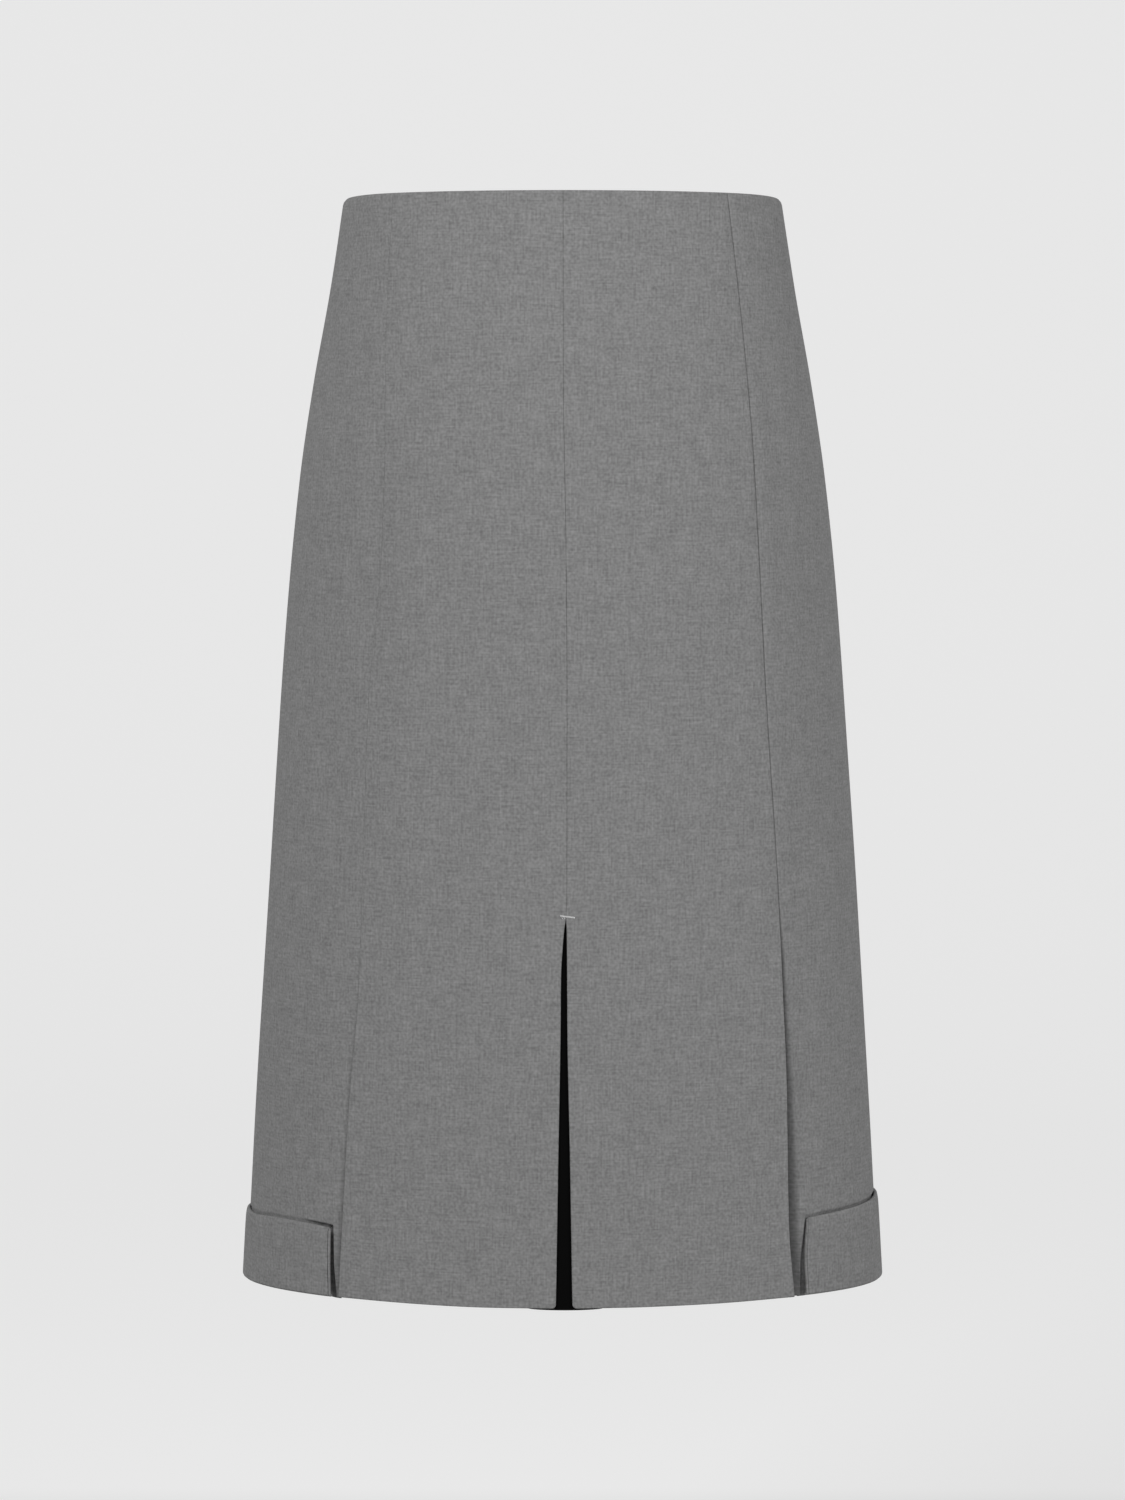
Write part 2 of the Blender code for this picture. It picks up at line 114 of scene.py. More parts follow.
# The fronts' edges at centre front: sewn edge to edge above SLIT_TOP, a widening slit below it.
SLIT_TOP = 0.4595
Edge = namedtuple("Edge", "drop left right")
CENTRE_EDGES = (
    Edge(0.000, 0.00035, 0.00035),
    Edge(0.120, 0.00055, 0.00055),
    Edge(0.220, 0.00215, 0.00215),
    Edge(0.320, 0.00285, 0.00285),
    Edge(0.440, 0.00275, 0.00275),
    Edge(SLIT_TOP, 0.0021, 0.0022),
    Edge(0.465, 0.0012, 0.0026),
    Edge(0.479, 0.0000, 0.0028),
    Edge(0.495, -0.0009, 0.0029),
    Edge(0.530, -0.0012, 0.0031),
    Edge(0.610, -0.0026, 0.0047),
    Edge(LENGTH, -0.0042, 0.0063),
)

# Beside each front seam the side panel sinks into a vent: how deep at the seam, how wide, and how
# sharply it steepens towards the seam.
Vent = namedtuple("Vent", "drop left_sink left_groove left_power right_sink right_groove right_power")
VENT_TOP = {"left": 0.495, "right": 0.466}
VENTS = (
    Vent(0.000, 0.0000, 0.0030, 2.0, 0.0000, 0.0030, 2.6),
    Vent(0.447, 0.0000, 0.0030, 2.0, 0.0000, 0.0030, 2.6),
    Vent(0.466, 0.0000, 0.0030, 2.0, 0.0022, 0.0032, 2.6),
    Vent(0.495, 0.0004, 0.0034, 2.0, 0.0044, 0.0038, 2.6),
    Vent(0.545, 0.0009, 0.0042, 2.0, 0.0074, 0.0042, 2.8),
    Vent(0.597, 0.0014, 0.0050, 2.0, 0.0128, 0.0096, 3.0),
    Vent(0.645, 0.0025, 0.0070, 2.0, 0.0165, 0.0146, 2.8),
    Vent(0.676, 0.0037, 0.0088, 2.0, 0.0168, 0.0124, 2.1),
    Vent(LENGTH, 0.0046, 0.0092, 2.0, 0.0152, 0.0104, 1.3),
)
HANDS = {"left": -1.0, "right": 1.0}
print("form:", len(SECTIONS), "sections over", LENGTH, "m")


# %% [markdown]
# Straight lines between the rows would leave a bend at each one, and an ordinary smooth curve can swing
# past them. This curve takes its slope at each row from the slopes on both sides, and is level where
# they disagree, so it never swings past. A point of the form is found from its turn round the middle and
# its drop. A lift moves it straight out from the cloth, which is how folds and thickness are made later.

# %% Curves between table rows, and points of the form
def between(table, column, drop):
    """One column of a table at each drop, on a smooth curve that never passes beyond its rows."""
    drops = np.array([row.drop for row in table])
    values = np.array([getattr(row, column) for row in table])
    span = np.diff(drops)
    slope = np.diff(values) / span
    product = slope[:-1] * slope[1:]
    total = np.where(product > 0.0, slope[:-1] + slope[1:], 1.0)
    inner = np.where(product > 0.0, 2.0 * product / total, 0.0)
    tangent = np.concatenate((slope[:1], inner, slope[-1:]))
    drop = np.clip(drop, drops[0], drops[-1])
    i = np.clip(np.searchsorted(drops, drop, side="right") - 1, 0, len(span) - 1)
    t = (drop - drops[i]) / span[i]
    start = 1.0 - 3.0 * t**2 + 2.0 * t**3
    leave = (t - 2.0 * t**2 + t**3) * span[i] * tangent[i]
    arrive = (t**3 - t**2) * span[i] * tangent[i + 1]
    return start * values[i] + (1.0 - start) * values[i + 1] + leave + arrive


def smooth(t):
    """0 below 0, 1 above 1 and a soft step between."""
    t = np.clip(t, 0.0, 1.0)
    return t * t * (3.0 - 2.0 * t)


def section_at(turn, drop):
    """Half width and depth of the form, where a turn of 0 is centre front and pi is centre back."""
    front = between(SECTIONS, "front_depth", drop)
    back = between(SECTIONS, "back_depth", drop)
    return between(SECTIONS, "half_width", drop), np.where(np.cos(turn) >= 0.0, front, back)


def form(hand, turn, drop, lift=0.0):
    """Points of the form on one hand, -1 left or +1 right, moved out from it by a lift."""
    half_width, depth = section_at(turn, drop)
    out_x = np.sin(turn) / half_width
    out_y = -np.cos(turn) / depth
    size = np.hypot(out_x, out_y)
    x = half_width * np.sin(turn) + lift * out_x / size
    y = -depth * np.cos(turn) + lift * out_y / size
    return np.stack((hand * x, y, np.broadcast_to(-drop, x.shape)), axis=-1)


def turn_at(across, drop):
    """Turn of the front half at a distance across from the middle plane."""
    return np.arcsin(across / between(SECTIONS, "half_width", drop))


hip = form(1.0, pi / 2.0, np.array(0.26))
print("hip point:", np.round(hip, 4))

# %% [markdown]
# ## Measuring along the cloth
#
# Cloth keeps its length, so widths are measured along it and not straight across. For each level the
# distance walked round the form is added up once, and after that a tape-measure distance can be turned
# back into a place on the form. The same distances become the cloth's own coordinates, so the weave
# keeps its true size on every piece.

# %% Distances walked round the form
TURNS = np.linspace(-0.15, pi, 1200)


def walked(drops):
    """For each drop, the distance along the form from centre front to each of TURNS."""
    half_width, depth = section_at(TURNS[None, :], drops[:, None])
    x = half_width * np.sin(TURNS)
    y = -depth * np.cos(TURNS)
    steps = np.hypot(np.diff(x, axis=1), np.diff(y, axis=1))
    total = np.concatenate((np.zeros((len(drops), 1)), np.cumsum(steps, axis=1)), axis=1)
    at_front = np.array([np.interp(0.0, TURNS, row) for row in total])
    return total - at_front[:, None]


def distance_of(turns, drops):
    """Distance along the form from centre front to one turn for each drop."""
    return np.array([np.interp(turn, TURNS, row) for turn, row in zip(turns, walked(drops))])


def turns_of(distances, drops):
    """The turns at which a grid of distances along the form lies, row by row."""
    return np.array([np.interp(row, line, TURNS) for row, line in zip(distances, walked(drops))])


hem_round = 2.0 * distance_of(np.array([pi]), np.array([LENGTH]))[0]
waist_round = 2.0 * distance_of(np.array([pi]), np.array([0.0]))[0]
print("waist", round(waist_round, 3), "m round, hem", round(hem_round, 3), "m round")

# %% [markdown]
# ## Soft folds
#
# Suiting falls in long, shallow folds. They could come from a cloth simulation, but these are so
# quiet that listing them one by one gives more control: each row of the table is one ridge or trough
# with its own place, length, widths and depth, no two alike. A ridge may be steeper on one side, which
# is how a seam kinks the cloth. A faint ripple on top keeps the stretches between from looking drawn.

# %% Folds and ripples
Fold = namedtuple("Fold", "hand top bottom start end near far depth")
FOLDS = (
    # hand, from and to (drops), turns in degrees, widths towards the front and the back, depth
    Fold("left", 0.10, 0.36, 45.0, 42.0, 0.012, 0.009, -0.0013),
    Fold("left", 0.15, 0.50, 57.0, 52.0, 0.016, 0.020, -0.0013),
    Fold("left", 0.10, 0.56, 34.0, 33.0, 0.016, 0.012, 0.0010),
    Fold("left", 0.50, 0.86, 46.0, 44.0, 0.030, 0.014, 0.0008),
    Fold("left", 0.42, 0.80, 17.0, 20.0, 0.026, 0.022, -0.0008),
    Fold("left", 0.22, 0.62, 98.0, 95.0, 0.018, 0.026, -0.0008),
    Fold("left", 0.36, 0.92, 112.0, 115.0, 0.018, 0.022, -0.0026),
    Fold("left", 0.10, 0.50, 118.0, 122.0, 0.030, 0.020, 0.0018),
    Fold("right", 0.02, 0.62, 46.5, 44.0, 0.034, 0.012, 0.0012),
    Fold("right", 0.18, 0.36, 38.0, 38.5, 0.009, 0.010, -0.0007),
    Fold("right", 0.12, 0.48, 62.0, 66.0, 0.022, 0.026, -0.0020),
    Fold("right", 0.46, 0.90, 12.0, 19.0, 0.024, 0.022, -0.0015),
    Fold("right", 0.40, 0.95, 34.0, 36.0, 0.022, 0.016, 0.0014),
    Fold("right", 0.52, 0.95, 70.0, 74.0, 0.020, 0.014, 0.0012),
    Fold("right", 0.22, 0.70, 110.0, 106.0, 0.018, 0.026, -0.0024),
    Fold("right", 0.44, 0.92, 124.0, 128.0, 0.026, 0.030, 0.0022),
    Fold("left", 0.22, 0.60, 150.0, 154.0, 0.022, 0.018, -0.0018),
    Fold("left", 0.46, 0.95, 136.0, 132.0, 0.028, 0.020, 0.0024),
    Fold("right", 0.30, 0.74, 158.0, 155.0, 0.020, 0.024, -0.0020),
    Fold("right", 0.12, 0.40, 140.0, 144.0, 0.024, 0.020, -0.0015),
    Fold("left", 0.52, 0.98, 163.0, 166.0, 0.020, 0.020, -0.0022),
    Fold("right", 0.50, 0.96, 170.0, 168.0, 0.024, 0.018, 0.0014),
)
FOLD_FADE = 0.34  # share of a fold's length over which it rises, and again over which it dies away

Ripple = namedtuple("Ripple", "round_waves down_waves shift size")
RIPPLES = (
    Ripple(9.0, 11.0, 0.4, 0.00010),
    Ripple(-14.0, 7.0, 2.1, 0.00009),
    Ripple(23.0, 16.0, 4.4, 0.00006),
    Ripple(-5.0, 24.0, 1.3, 0.00005),
    Ripple(17.0, -19.0, 5.2, 0.00005),
)
RIPPLE_REACH = 0.05  # the ripple is flat at the waist edge and full from this drop on
WAIST_LEAN = 0.0050  # the waist edge leans in at the hips, on a curve of this radius
LEAN_FROM = radians(48.0)
LEAN_FULL = radians(80.0)


def fold_lift(hand, turn, drop):
    """How far the folds of one hand raise or lower the cloth."""
    lift = np.zeros(np.broadcast(turn, drop).shape)
    for fold in FOLDS:
        if HANDS[fold.hand] != hand:
            continue
        along = (drop - fold.top) / (fold.bottom - fold.top)
        fade = smooth(along / FOLD_FADE) * smooth((1.0 - along) / FOLD_FADE)
        path = np.radians(fold.start + (fold.end - fold.start) * along)
        half_width, depth = section_at(path, drop)
        pace = np.hypot(half_width * np.cos(path), depth * np.sin(path))
        away = (turn - path) * pace
        width = np.where(away < 0.0, fold.near, fold.far)
        lift = lift + fold.depth * fade * np.exp(-0.5 * (away / width) ** 2)
    return lift


def cloth_lift(hand, turn, drop):
    """Lift of the cloth's middle layer: its folds, a faint ripple and the lean of the waist edge."""
    lift = fold_lift(hand, turn, drop)
    for ripple in RIPPLES:
        phase = hand * turn * ripple.round_waves + drop / LENGTH * ripple.down_waves + ripple.shift
        lift = lift + ripple.size * np.sin(phase) * smooth(drop / RIPPLE_REACH)
    from_hip = np.abs(turn - pi / 2.0)
    sideways = smooth((from_hip - (pi / 2.0 - LEAN_FROM)) / (LEAN_FROM - LEAN_FULL))
    down = np.clip(WAIST_LEAN - drop, 0.0, WAIST_LEAN)
    lean = WAIST_LEAN - np.sqrt(WAIST_LEAN**2 - down**2)
    return lift - lean * sideways


print("folds:", len(FOLDS), "ripples:", len(RIPPLES))

# %% [markdown]
# ## From grids to cloth
#
# A panel of real cloth has two faces, and at its edges it is turned in and pressed. Each piece here is
# one closed mesh made of an outer and an inner grid of points. Near an edge the grid lines crowd
# together, so the edge can roll over on a true radius, and where the cloth is turned in the wall
# becomes two layers thick, with the raw edge as a small step. Blender's Solidify modifier would give
# an even wall more quickly, but not the rolled edges or the turnings.

# %% Edges, rows and columns
CLOTH = 0.00085  # thickness of one layer of suiting
SEAM_ROLLS = {"centre": 0.0005, "left": 0.0002, "right": 0.0009, "back": 0.0005}  # pressed edges
FREE_ROLL = 0.00084  # radius of an edge that hangs free
ALLOWANCE = 0.012  # width of a seam's turning
WAIST_TURNING = 0.030
HEM_TURNING = 0.038
RAW_STEP = 0.0002  # half the distance over which a raw edge steps down
COLUMN_STEP = 0.0040
ROW_STEP = 0.0050
NEAR_EDGE = np.array((0.0, 0.08, 0.2, 0.34, 0.5, 0.68, 0.9, 1.3, 2.0, 3.2, 5.2, 8.0)) / 1000.0

# Where each kind of piece starts on the bolt, so that no yarn seems to run on across a seam.
CUT_FROM = {"side": 0.31, "back": 0.57, "cuff": 0.94}


def ladder(start, end, step):
    """Evenly spaced values from start to end, no further apart than a step, without the two ends."""
    count = ceil((end - start) / step - 1e-9)
    return np.linspace(start, end, count + 1)[1:-1]


def drops_down(marks, end=LENGTH, fine=()):
    """Drops of a panel's rows: crowded at the waist and hem, with a pair of rows at each raw edge."""
    firm = [*NEAR_EDGE, *(end - NEAR_EDGE)]
    for mark in marks:
        firm += [mark - RAW_STEP, mark + RAW_STEP]
    firm += list(fine)
    firm = sorted(set(np.round(firm, 6)))
    rows = list(firm)
    for low, high in zip(firm, firm[1:]):
        if high - low > ROW_STEP:
            rows += list(ladder(low, high, ROW_STEP))
    return np.array(sorted(rows))


def columns_between(start, end, near_start, near_end):
    """Distances of a panel's columns, row by row: crowded at both edges and even between them."""
    head = start[:, None] + near_start
    tail = end[:, None] - near_end[:, ::-1]
    widest = (tail[:, 0] - head[:, -1]).max()
    share = ladder(0.0, 1.0, COLUMN_STEP / widest)
    middle = head[:, -1:] + (tail[:, :1] - head[:, -1:]) * share
    return np.hstack((head, middle, tail))


def near(turning):
    """Columns beside an edge for each row, up to the raw edge of its turning."""
    turning = turning[:, None]
    inner = NEAR_EDGE[None, :] * np.ones_like(turning)
    return np.hstack((inner, turning - RAW_STEP, turning + RAW_STEP))


def rolled(distance, radius):
    """How far a rolled edge falls away at a distance from the edge."""
    short = np.clip(radius - distance, 0.0, radius)
    return radius - np.sqrt(np.maximum(radius**2 - short**2, 0.0))


def turned(distance, width):
    """1 where the cloth is turned in and double, 0 beyond the raw edge."""
    return smooth((width + RAW_STEP - distance) / (2.0 * RAW_STEP))


rows = drops_down((WAIST_TURNING, LENGTH - HEM_TURNING))
print("rows in a front panel:", len(rows))


# %% [markdown]
# The two grids become the two skins of a closed mesh, and a rim of narrow faces joins them round the
# edge. A closed mesh has a true thickness wherever it is seen from, and its volume says whether its
# faces point outwards. Blender's UV layer takes any pair of numbers, so here it holds the distances
# along the cloth in metres, and every pattern of the weave is drawn with them.

# %% One closed mesh from two grids
def shell(name, outer, inner, across, along):
    """Closed cloth between two grids of points, with UV coordinates in metres of cloth."""
    count, width = across.shape
    points = np.concatenate((outer.reshape(-1, 3), inner.reshape(-1, 3)))
    index = np.arange(count * width).reshape(count, width)
    top_left, low_left = index[:-1, :-1], index[1:, :-1]
    top_right, low_right = index[:-1, 1:], index[1:, 1:]
    skin = np.stack((top_left, low_left, low_right, top_right), axis=-1).reshape(-1, 4)
    border = [*index[0, :], *index[1:, -1], *index[-1, -2::-1], *index[-2:0:-1, 0]]
    loop = np.array(border)
    after = np.roll(loop, -1)
    rim = np.stack((loop, after, after + count * width, loop + count * width), axis=-1)
    faces = np.concatenate((skin, skin[:, ::-1] + count * width, rim))
    mesh = bpy.data.meshes.new(name)
    mesh.from_pydata(points.tolist(), [], faces.tolist())
    corner_at = np.zeros(len(mesh.loops), dtype=np.int32)
    mesh.loops.foreach_get("vertex_index", corner_at)
    flat = np.stack((across.ravel(), along.ravel()), axis=-1)
    flat = np.concatenate((flat, flat))[corner_at]
    mesh.uv_layers.new(name="cloth").data.foreach_set("uv", flat.astype(np.float32).ravel())
    if signed_volume(points, faces) < 0.0:
        mesh.flip_normals()
    mesh.shade_smooth()
    piece = bpy.data.objects.new(name, mesh)
    bpy.context.scene.collection.objects.link(piece)
    return piece


def signed_volume(points, faces):
    """Volume inside closed faces of four corners, below zero where they face inwards."""
    a, b, c, d = (points[faces[:, k]] for k in range(4))
    return (np.cross(b - a, c - a) * a + np.cross(c - a, d - a) * a).sum() / 6.0


def flat_cut(across, drops):
    """Width, length and area of a panel laid flat, measured on its grid."""
    widths = across[:, -1] - across[:, 0]
    area = float(((widths[1:] + widths[:-1]) / 2.0 * np.diff(drops)).sum())
    return float(widths.max()), float(drops[-1] - drops[0]), area


def hang_cloth(piece, node, cut):
    """Attach a cloth piece to the skirt, hide the imported node it stands for, and print the size it was
    cut to.
    """
    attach(piece, "skirt")
    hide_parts(node)
    width, length, area = cut
    faces = len(piece.data.polygons)
    print(f"{piece.name}: {faces} faces, cut {width:.3f} x {length:.3f} m, {area * 10000:.0f} cm2")


# %% [markdown]
# ## Front panels
#
# The two fronts meet in a centre seam with its turnings pressed open. Low down the seam stops and the
# turnings become wide facings on either side of a slit, whose lower corners are slightly rounded, as a
# turned corner always is. Towards the hip each front's edge is pressed over the side panel, and at the
# vent it hangs free and stands a little proud. All round, the hem hangs a touch higher at the hips than
# at centre front, as it does once a skirt is worn. One function makes both fronts, because they differ
# only in their tables.

# %% Front panels
FACING = 0.034  # width of the turning beside the slit
SLIT_EASE = 0.012  # the drop over which the seam becomes a free edge
CORNER = {"left": 0.0026, "right": 0.0030}  # radius of the slit's lower corners
CORNER_REACH = 0.014  # the rows above the hem that the corners draw up
FLARE = {"left": 0.0004, "right": 0.0034}  # how far the free edge swings out
FLARE_WIDTH = 0.048  # width of the part that swings
FLARE_FROM = 0.43  # drops at which it starts and is full
FLARE_FULL = 0.575
FLARE_SHIFT = 0.56  # swinging out, the edge comes this share of it short of the seam line
PRESSED = {"left": 0.00006, "right": 0.00045}  # how far a front bends in towards the seam
PRESSED_WIDTH = 0.0020  # the bend dies away over this distance on the front
PRESSED_BESIDE = 0.0030  # and over this one on the side panel
PRESSED_FREE = 0.5  # share of that bend which is lost where the edge hangs free
HEM_RISE = 0.00165  # how much higher the hem hangs at the hips than at centre front
HEM_RISE_FROM = 0.045  # it starts to rise this far from the middle plane
HEM_RISE_FULL = 0.155
HEM_RISE_REACH = 0.09  # height of the cloth above the hem that is drawn up with it
EDGE_LINE = 0.0019  # the waist turning shows as a faint line this far below the edge
EDGE_LINE_DEPTH = 0.00016
EDGE_LINE_WIDTH = 0.00030


def opened(drop, top):
    """0 above the top of a slit or vent and 1 below it."""
    return smooth((drop - top) / SLIT_EASE)


def waist_line(drop):
    """The shallow line that the turning leaves just below the waist edge."""
    return EDGE_LINE_DEPTH * np.exp(-0.5 * ((drop - EDGE_LINE) / EDGE_LINE_WIDTH) ** 2)


def hem_rise(turn, drop):
    """How much higher than nominal the cloth lies: the hem hangs a little higher at the hips."""
    aside = np.abs(np.sin(turn)) * SECTIONS[-1].half_width
    share = smooth((aside - HEM_RISE_FROM) / (HEM_RISE_FULL - HEM_RISE_FROM))
    return HEM_RISE * share * smooth((drop - (LENGTH - HEM_RISE_REACH)) / HEM_RISE_REACH)


def two_faces(hand, turn, drop, middle, thickness, outer_roll, inner_roll):
    """Outer and inner points of a panel from its lift, its thickness and how its edges roll."""
    outer = form(hand, turn, drop, middle - outer_roll - waist_line(drop))
    inner = form(hand, turn, drop, middle - thickness + inner_roll)
    return outer, inner


def front_panel(side):
    """One front, from the centre seam and slit to the seam over the hip."""
    hand = HANDS[side]
    drops = drops_down((WAIST_TURNING, LENGTH - HEM_TURNING))
    centre = distance_of(turn_at(hand * between(CENTRE_EDGES, side, drops), drops), drops)
    seam = distance_of(turn_at(between(SEAMS, side, drops), drops), drops)
    flare = FLARE[side] * smooth((drops - FLARE_FROM) / (FLARE_FULL - FLARE_FROM))
    seam = seam - FLARE_SHIFT * flare
    slit = opened(drops, SLIT_TOP)
    vent = opened(drops, VENT_TOP[side])
    facing = ALLOWANCE + (FACING - ALLOWANCE) * slit
    across = columns_between(centre, seam, near(facing), near(ALLOWANCE * np.ones_like(drops)))
    turn = turns_of(across, drops)
    drop = np.broadcast_to(drops[:, None], across.shape)

    from_centre = across - centre[:, None]
    from_seam = seam[:, None] - across
    cut_away = rolled(from_centre, CORNER[side]) * slit[:, None]
    near_hem = smooth((drop - (LENGTH - CORNER_REACH)) / CORNER_REACH)
    placed = drop - cut_away * near_hem - hem_rise(turn, drop)
    from_hem = LENGTH - drop

    proud = flare[:, None] * np.clip(1.0 - from_seam / FLARE_WIDTH, 0.0, 1.0) ** 2
    double = np.maximum.reduce((
        turned(from_centre, facing[:, None]),
        turned(from_seam, ALLOWANCE),
        turned(drop, WAIST_TURNING),
        turned(from_hem, HEM_TURNING),
    ))
    centre_roll = SEAM_ROLLS["centre"] + (FREE_ROLL - SEAM_ROLLS["centre"]) * slit[:, None]
    seam_roll = SEAM_ROLLS[side] + (FREE_ROLL - SEAM_ROLLS[side]) * vent[:, None]
    roll = np.maximum.reduce((
        rolled(from_centre, centre_roll),
        rolled(from_seam, seam_roll),
        rolled(drop, FREE_ROLL),
        rolled(from_hem, FREE_ROLL),
    ))
    pressed = PRESSED[side] * np.exp(-from_seam / PRESSED_WIDTH) * (1.0 - PRESSED_FREE * vent[:, None])
    middle = cloth_lift(hand, turn, drop) + proud - pressed
    outer, inner = two_faces(hand, turn, placed, middle, CLOTH * (1.0 + double), roll, roll)
    piece = shell("front_" + side, outer, inner, hand * across, -drop)
    return piece, flat_cut(across, drops)


fronts = {side: front_panel(side) for side in HANDS}
print("front hem width, right:", round(fronts["right"][1][0], 4), "m")

# %% [markdown]
# ## Side panels
#
# Each side panel tucks behind the front's pressed edge, which leaves the fine shadow line of the
# seam. Below the top of the vent it sinks away into a soft groove, and behind the front it comes back up
# to lie against the front's inner face, so the vent stays closed. Beside the cuff the groove deepens
# into a narrow slot, which reads as a black line, and above the cuff the panel dips so that the cuff
# stands off it. The columns are placed by their distance from the seam, with more of them where the
# surface turns sharply.

# %% Side panels
UNDERLAP = 0.016  # how far the side panel runs on behind the front
TUCK_ROLLS = {"left": 0.0003, "right": 0.0015}  # the sewn seam's valley, on the side panel's side
TUCK_STEP = 0.00022  # the panel steps down behind the front over this distance
TUCK_GAP = 0.0002  # between the front's inner face and the panel behind it
BEHIND = np.array((1.0, 0.99, 0.97, 0.75, 0.5, 0.3, 0.16, 0.08, 0.03, 0.015))
BESIDE = np.array((0.0, 0.08, 0.2, 0.34, 0.5, 0.7, 0.95, 1.25, 1.6, 2.0)) / 1000.0
ACROSS_VENT = np.array((0.16, 0.32, 0.48, 0.64, 0.8, 0.92))
BRINK = np.array((-0.25, -0.12, 0.0, 0.12, 0.25)) / 1000.0
CUFF_TOP_ROWS = LENGTH - np.arange(0.044, 0.064, 0.0008)  # fine rows where the cuff's top edge runs
UNDER_CUFF = np.array((-0.1, 0.3, 0.7, 1.1, 1.8, 2.5, 3.0, 3.5, 4.0, 4.5, 5.0, 6.0, 8.0, 10.0)) / 1000.0
UNDER_CUFF_RISE = 0.0020  # well under the cuff the side panel ends this far above the fold
UNDER_CUFF_FROM = 0.0060  # it starts to rise this far past the cuff's end
UNDER_CUFF_OVER = 0.0040  # and has risen after this distance more
CUFF_DIP = {"left": (0.0036, 0.0008), "right": (0.0011, 0.0015)}  # dip under the cuff, near and far
CUFF_DIP_START = 0.0010  # the dip begins over this distance past the cuff's end
CUFF_DIP_REACH = 0.0013  # and over this height above the cuff's top edge
CUFF_DIP_KEPT = 0.018  # the near depth lasts this far from the seam
CUFF_DIP_GONE = 0.034  # and has become the far depth here
VENT_HANG = 0.19  # sunken parts hang lower at the hem by this share of their depth
VENT_HANG_REACH = 0.012  # the rows above the hem that hang with them

Cuff = namedtuple("Cuff", "front_height side_height front_droop side_droop")
CUFFS = {"left": Cuff(0.0475, 0.0490, 0.0020, 0.0024), "right": Cuff(0.0515, 0.0570, 0.0, 0.0)}
Slot = namedtuple("Slot", "top_width hem_width top_depth hem_depth")
SLOTS = {"left": Slot(0.0009, 0.0017, 0.0024, 0.0060), "right": Slot(0.0004, 0.0012, 0.0001, 0.0036)}
SLOT_FADE = 0.002  # the slot deepens from nothing over this height
SLOT_EDGE = 0.0004  # width of its steep side towards the strip
SLOT_UNDER = 0.0030  # its floor runs on this far under the cuff
SLOT_RISE = 0.0020  # and comes up again over this distance
SLOT_HANG = 0.12  # on top of VENT_HANG, its floor hangs lower by this share of its own depth
CORNER_DROOP_OVER = 0.1  # the droops at the ends of a cuff's top edge, in shares of the way to the hip
SIDE_DROOP_FROM = 0.36
SIDE_DROOP_OVER = 0.36

# How far the cuff's front end stands from the seam, down its height.
CuffEnd = namedtuple("CuffEnd", "drop left right")
CUFF_ENDS = (
    CuffEnd(0.000, 0.0078, 0.0129),
    CuffEnd(0.652, 0.0078, 0.0129),
    CuffEnd(0.668, 0.0069, 0.0109),
    CuffEnd(0.686, 0.0060, 0.0088),
    CuffEnd(LENGTH, 0.0042, 0.0081),
)


def slot_size(side, drop):
    """Width and depth of the narrow slot between the vent's strip and the cuff's front end."""
    top = LENGTH - CUFFS[side].front_height
    down = np.clip((drop - top) / (LENGTH - top), 0.0, 1.0)
    slot = SLOTS[side]
    width = slot.top_width + (slot.hem_width - slot.top_width) * down**2
    depth = slot.top_depth + (slot.hem_depth - slot.top_depth) * down**2
    return width, depth * smooth((drop - top) / SLOT_FADE)


def cuff_height(side, turn):
    """Height of the cuff's top edge, which rises towards the hip and may droop a little at both ends."""
    low = turn_at(between(SEAMS, side, LENGTH) + between(CUFF_ENDS, side, LENGTH), LENGTH)
    share = np.clip((turn - low) / (pi / 2.0 - low), 0.0, 1.0)
    sizes = CUFFS[side]
    height = sizes.front_height + (sizes.side_height - sizes.front_height) * share
    corner_droop = sizes.front_droop * np.exp(-share / CORNER_DROOP_OVER)
    side_droop = sizes.side_droop * smooth((share - SIDE_DROOP_FROM) / SIDE_DROOP_OVER)
    return height - corner_droop - side_droop


def slot_dip(side, past_seam, drop):
    """Depth of the slot beside the cuff's front end, which runs on under the cuff."""
    cuff_end = between(CUFF_ENDS, side, drop)
    width, depth = slot_size(side, drop)
    fall = smooth((past_seam - cuff_end + width) / SLOT_EDGE + 0.5)
    rise = 1.0 - smooth((past_seam - cuff_end - SLOT_UNDER) / SLOT_RISE)
    return depth * fall * rise


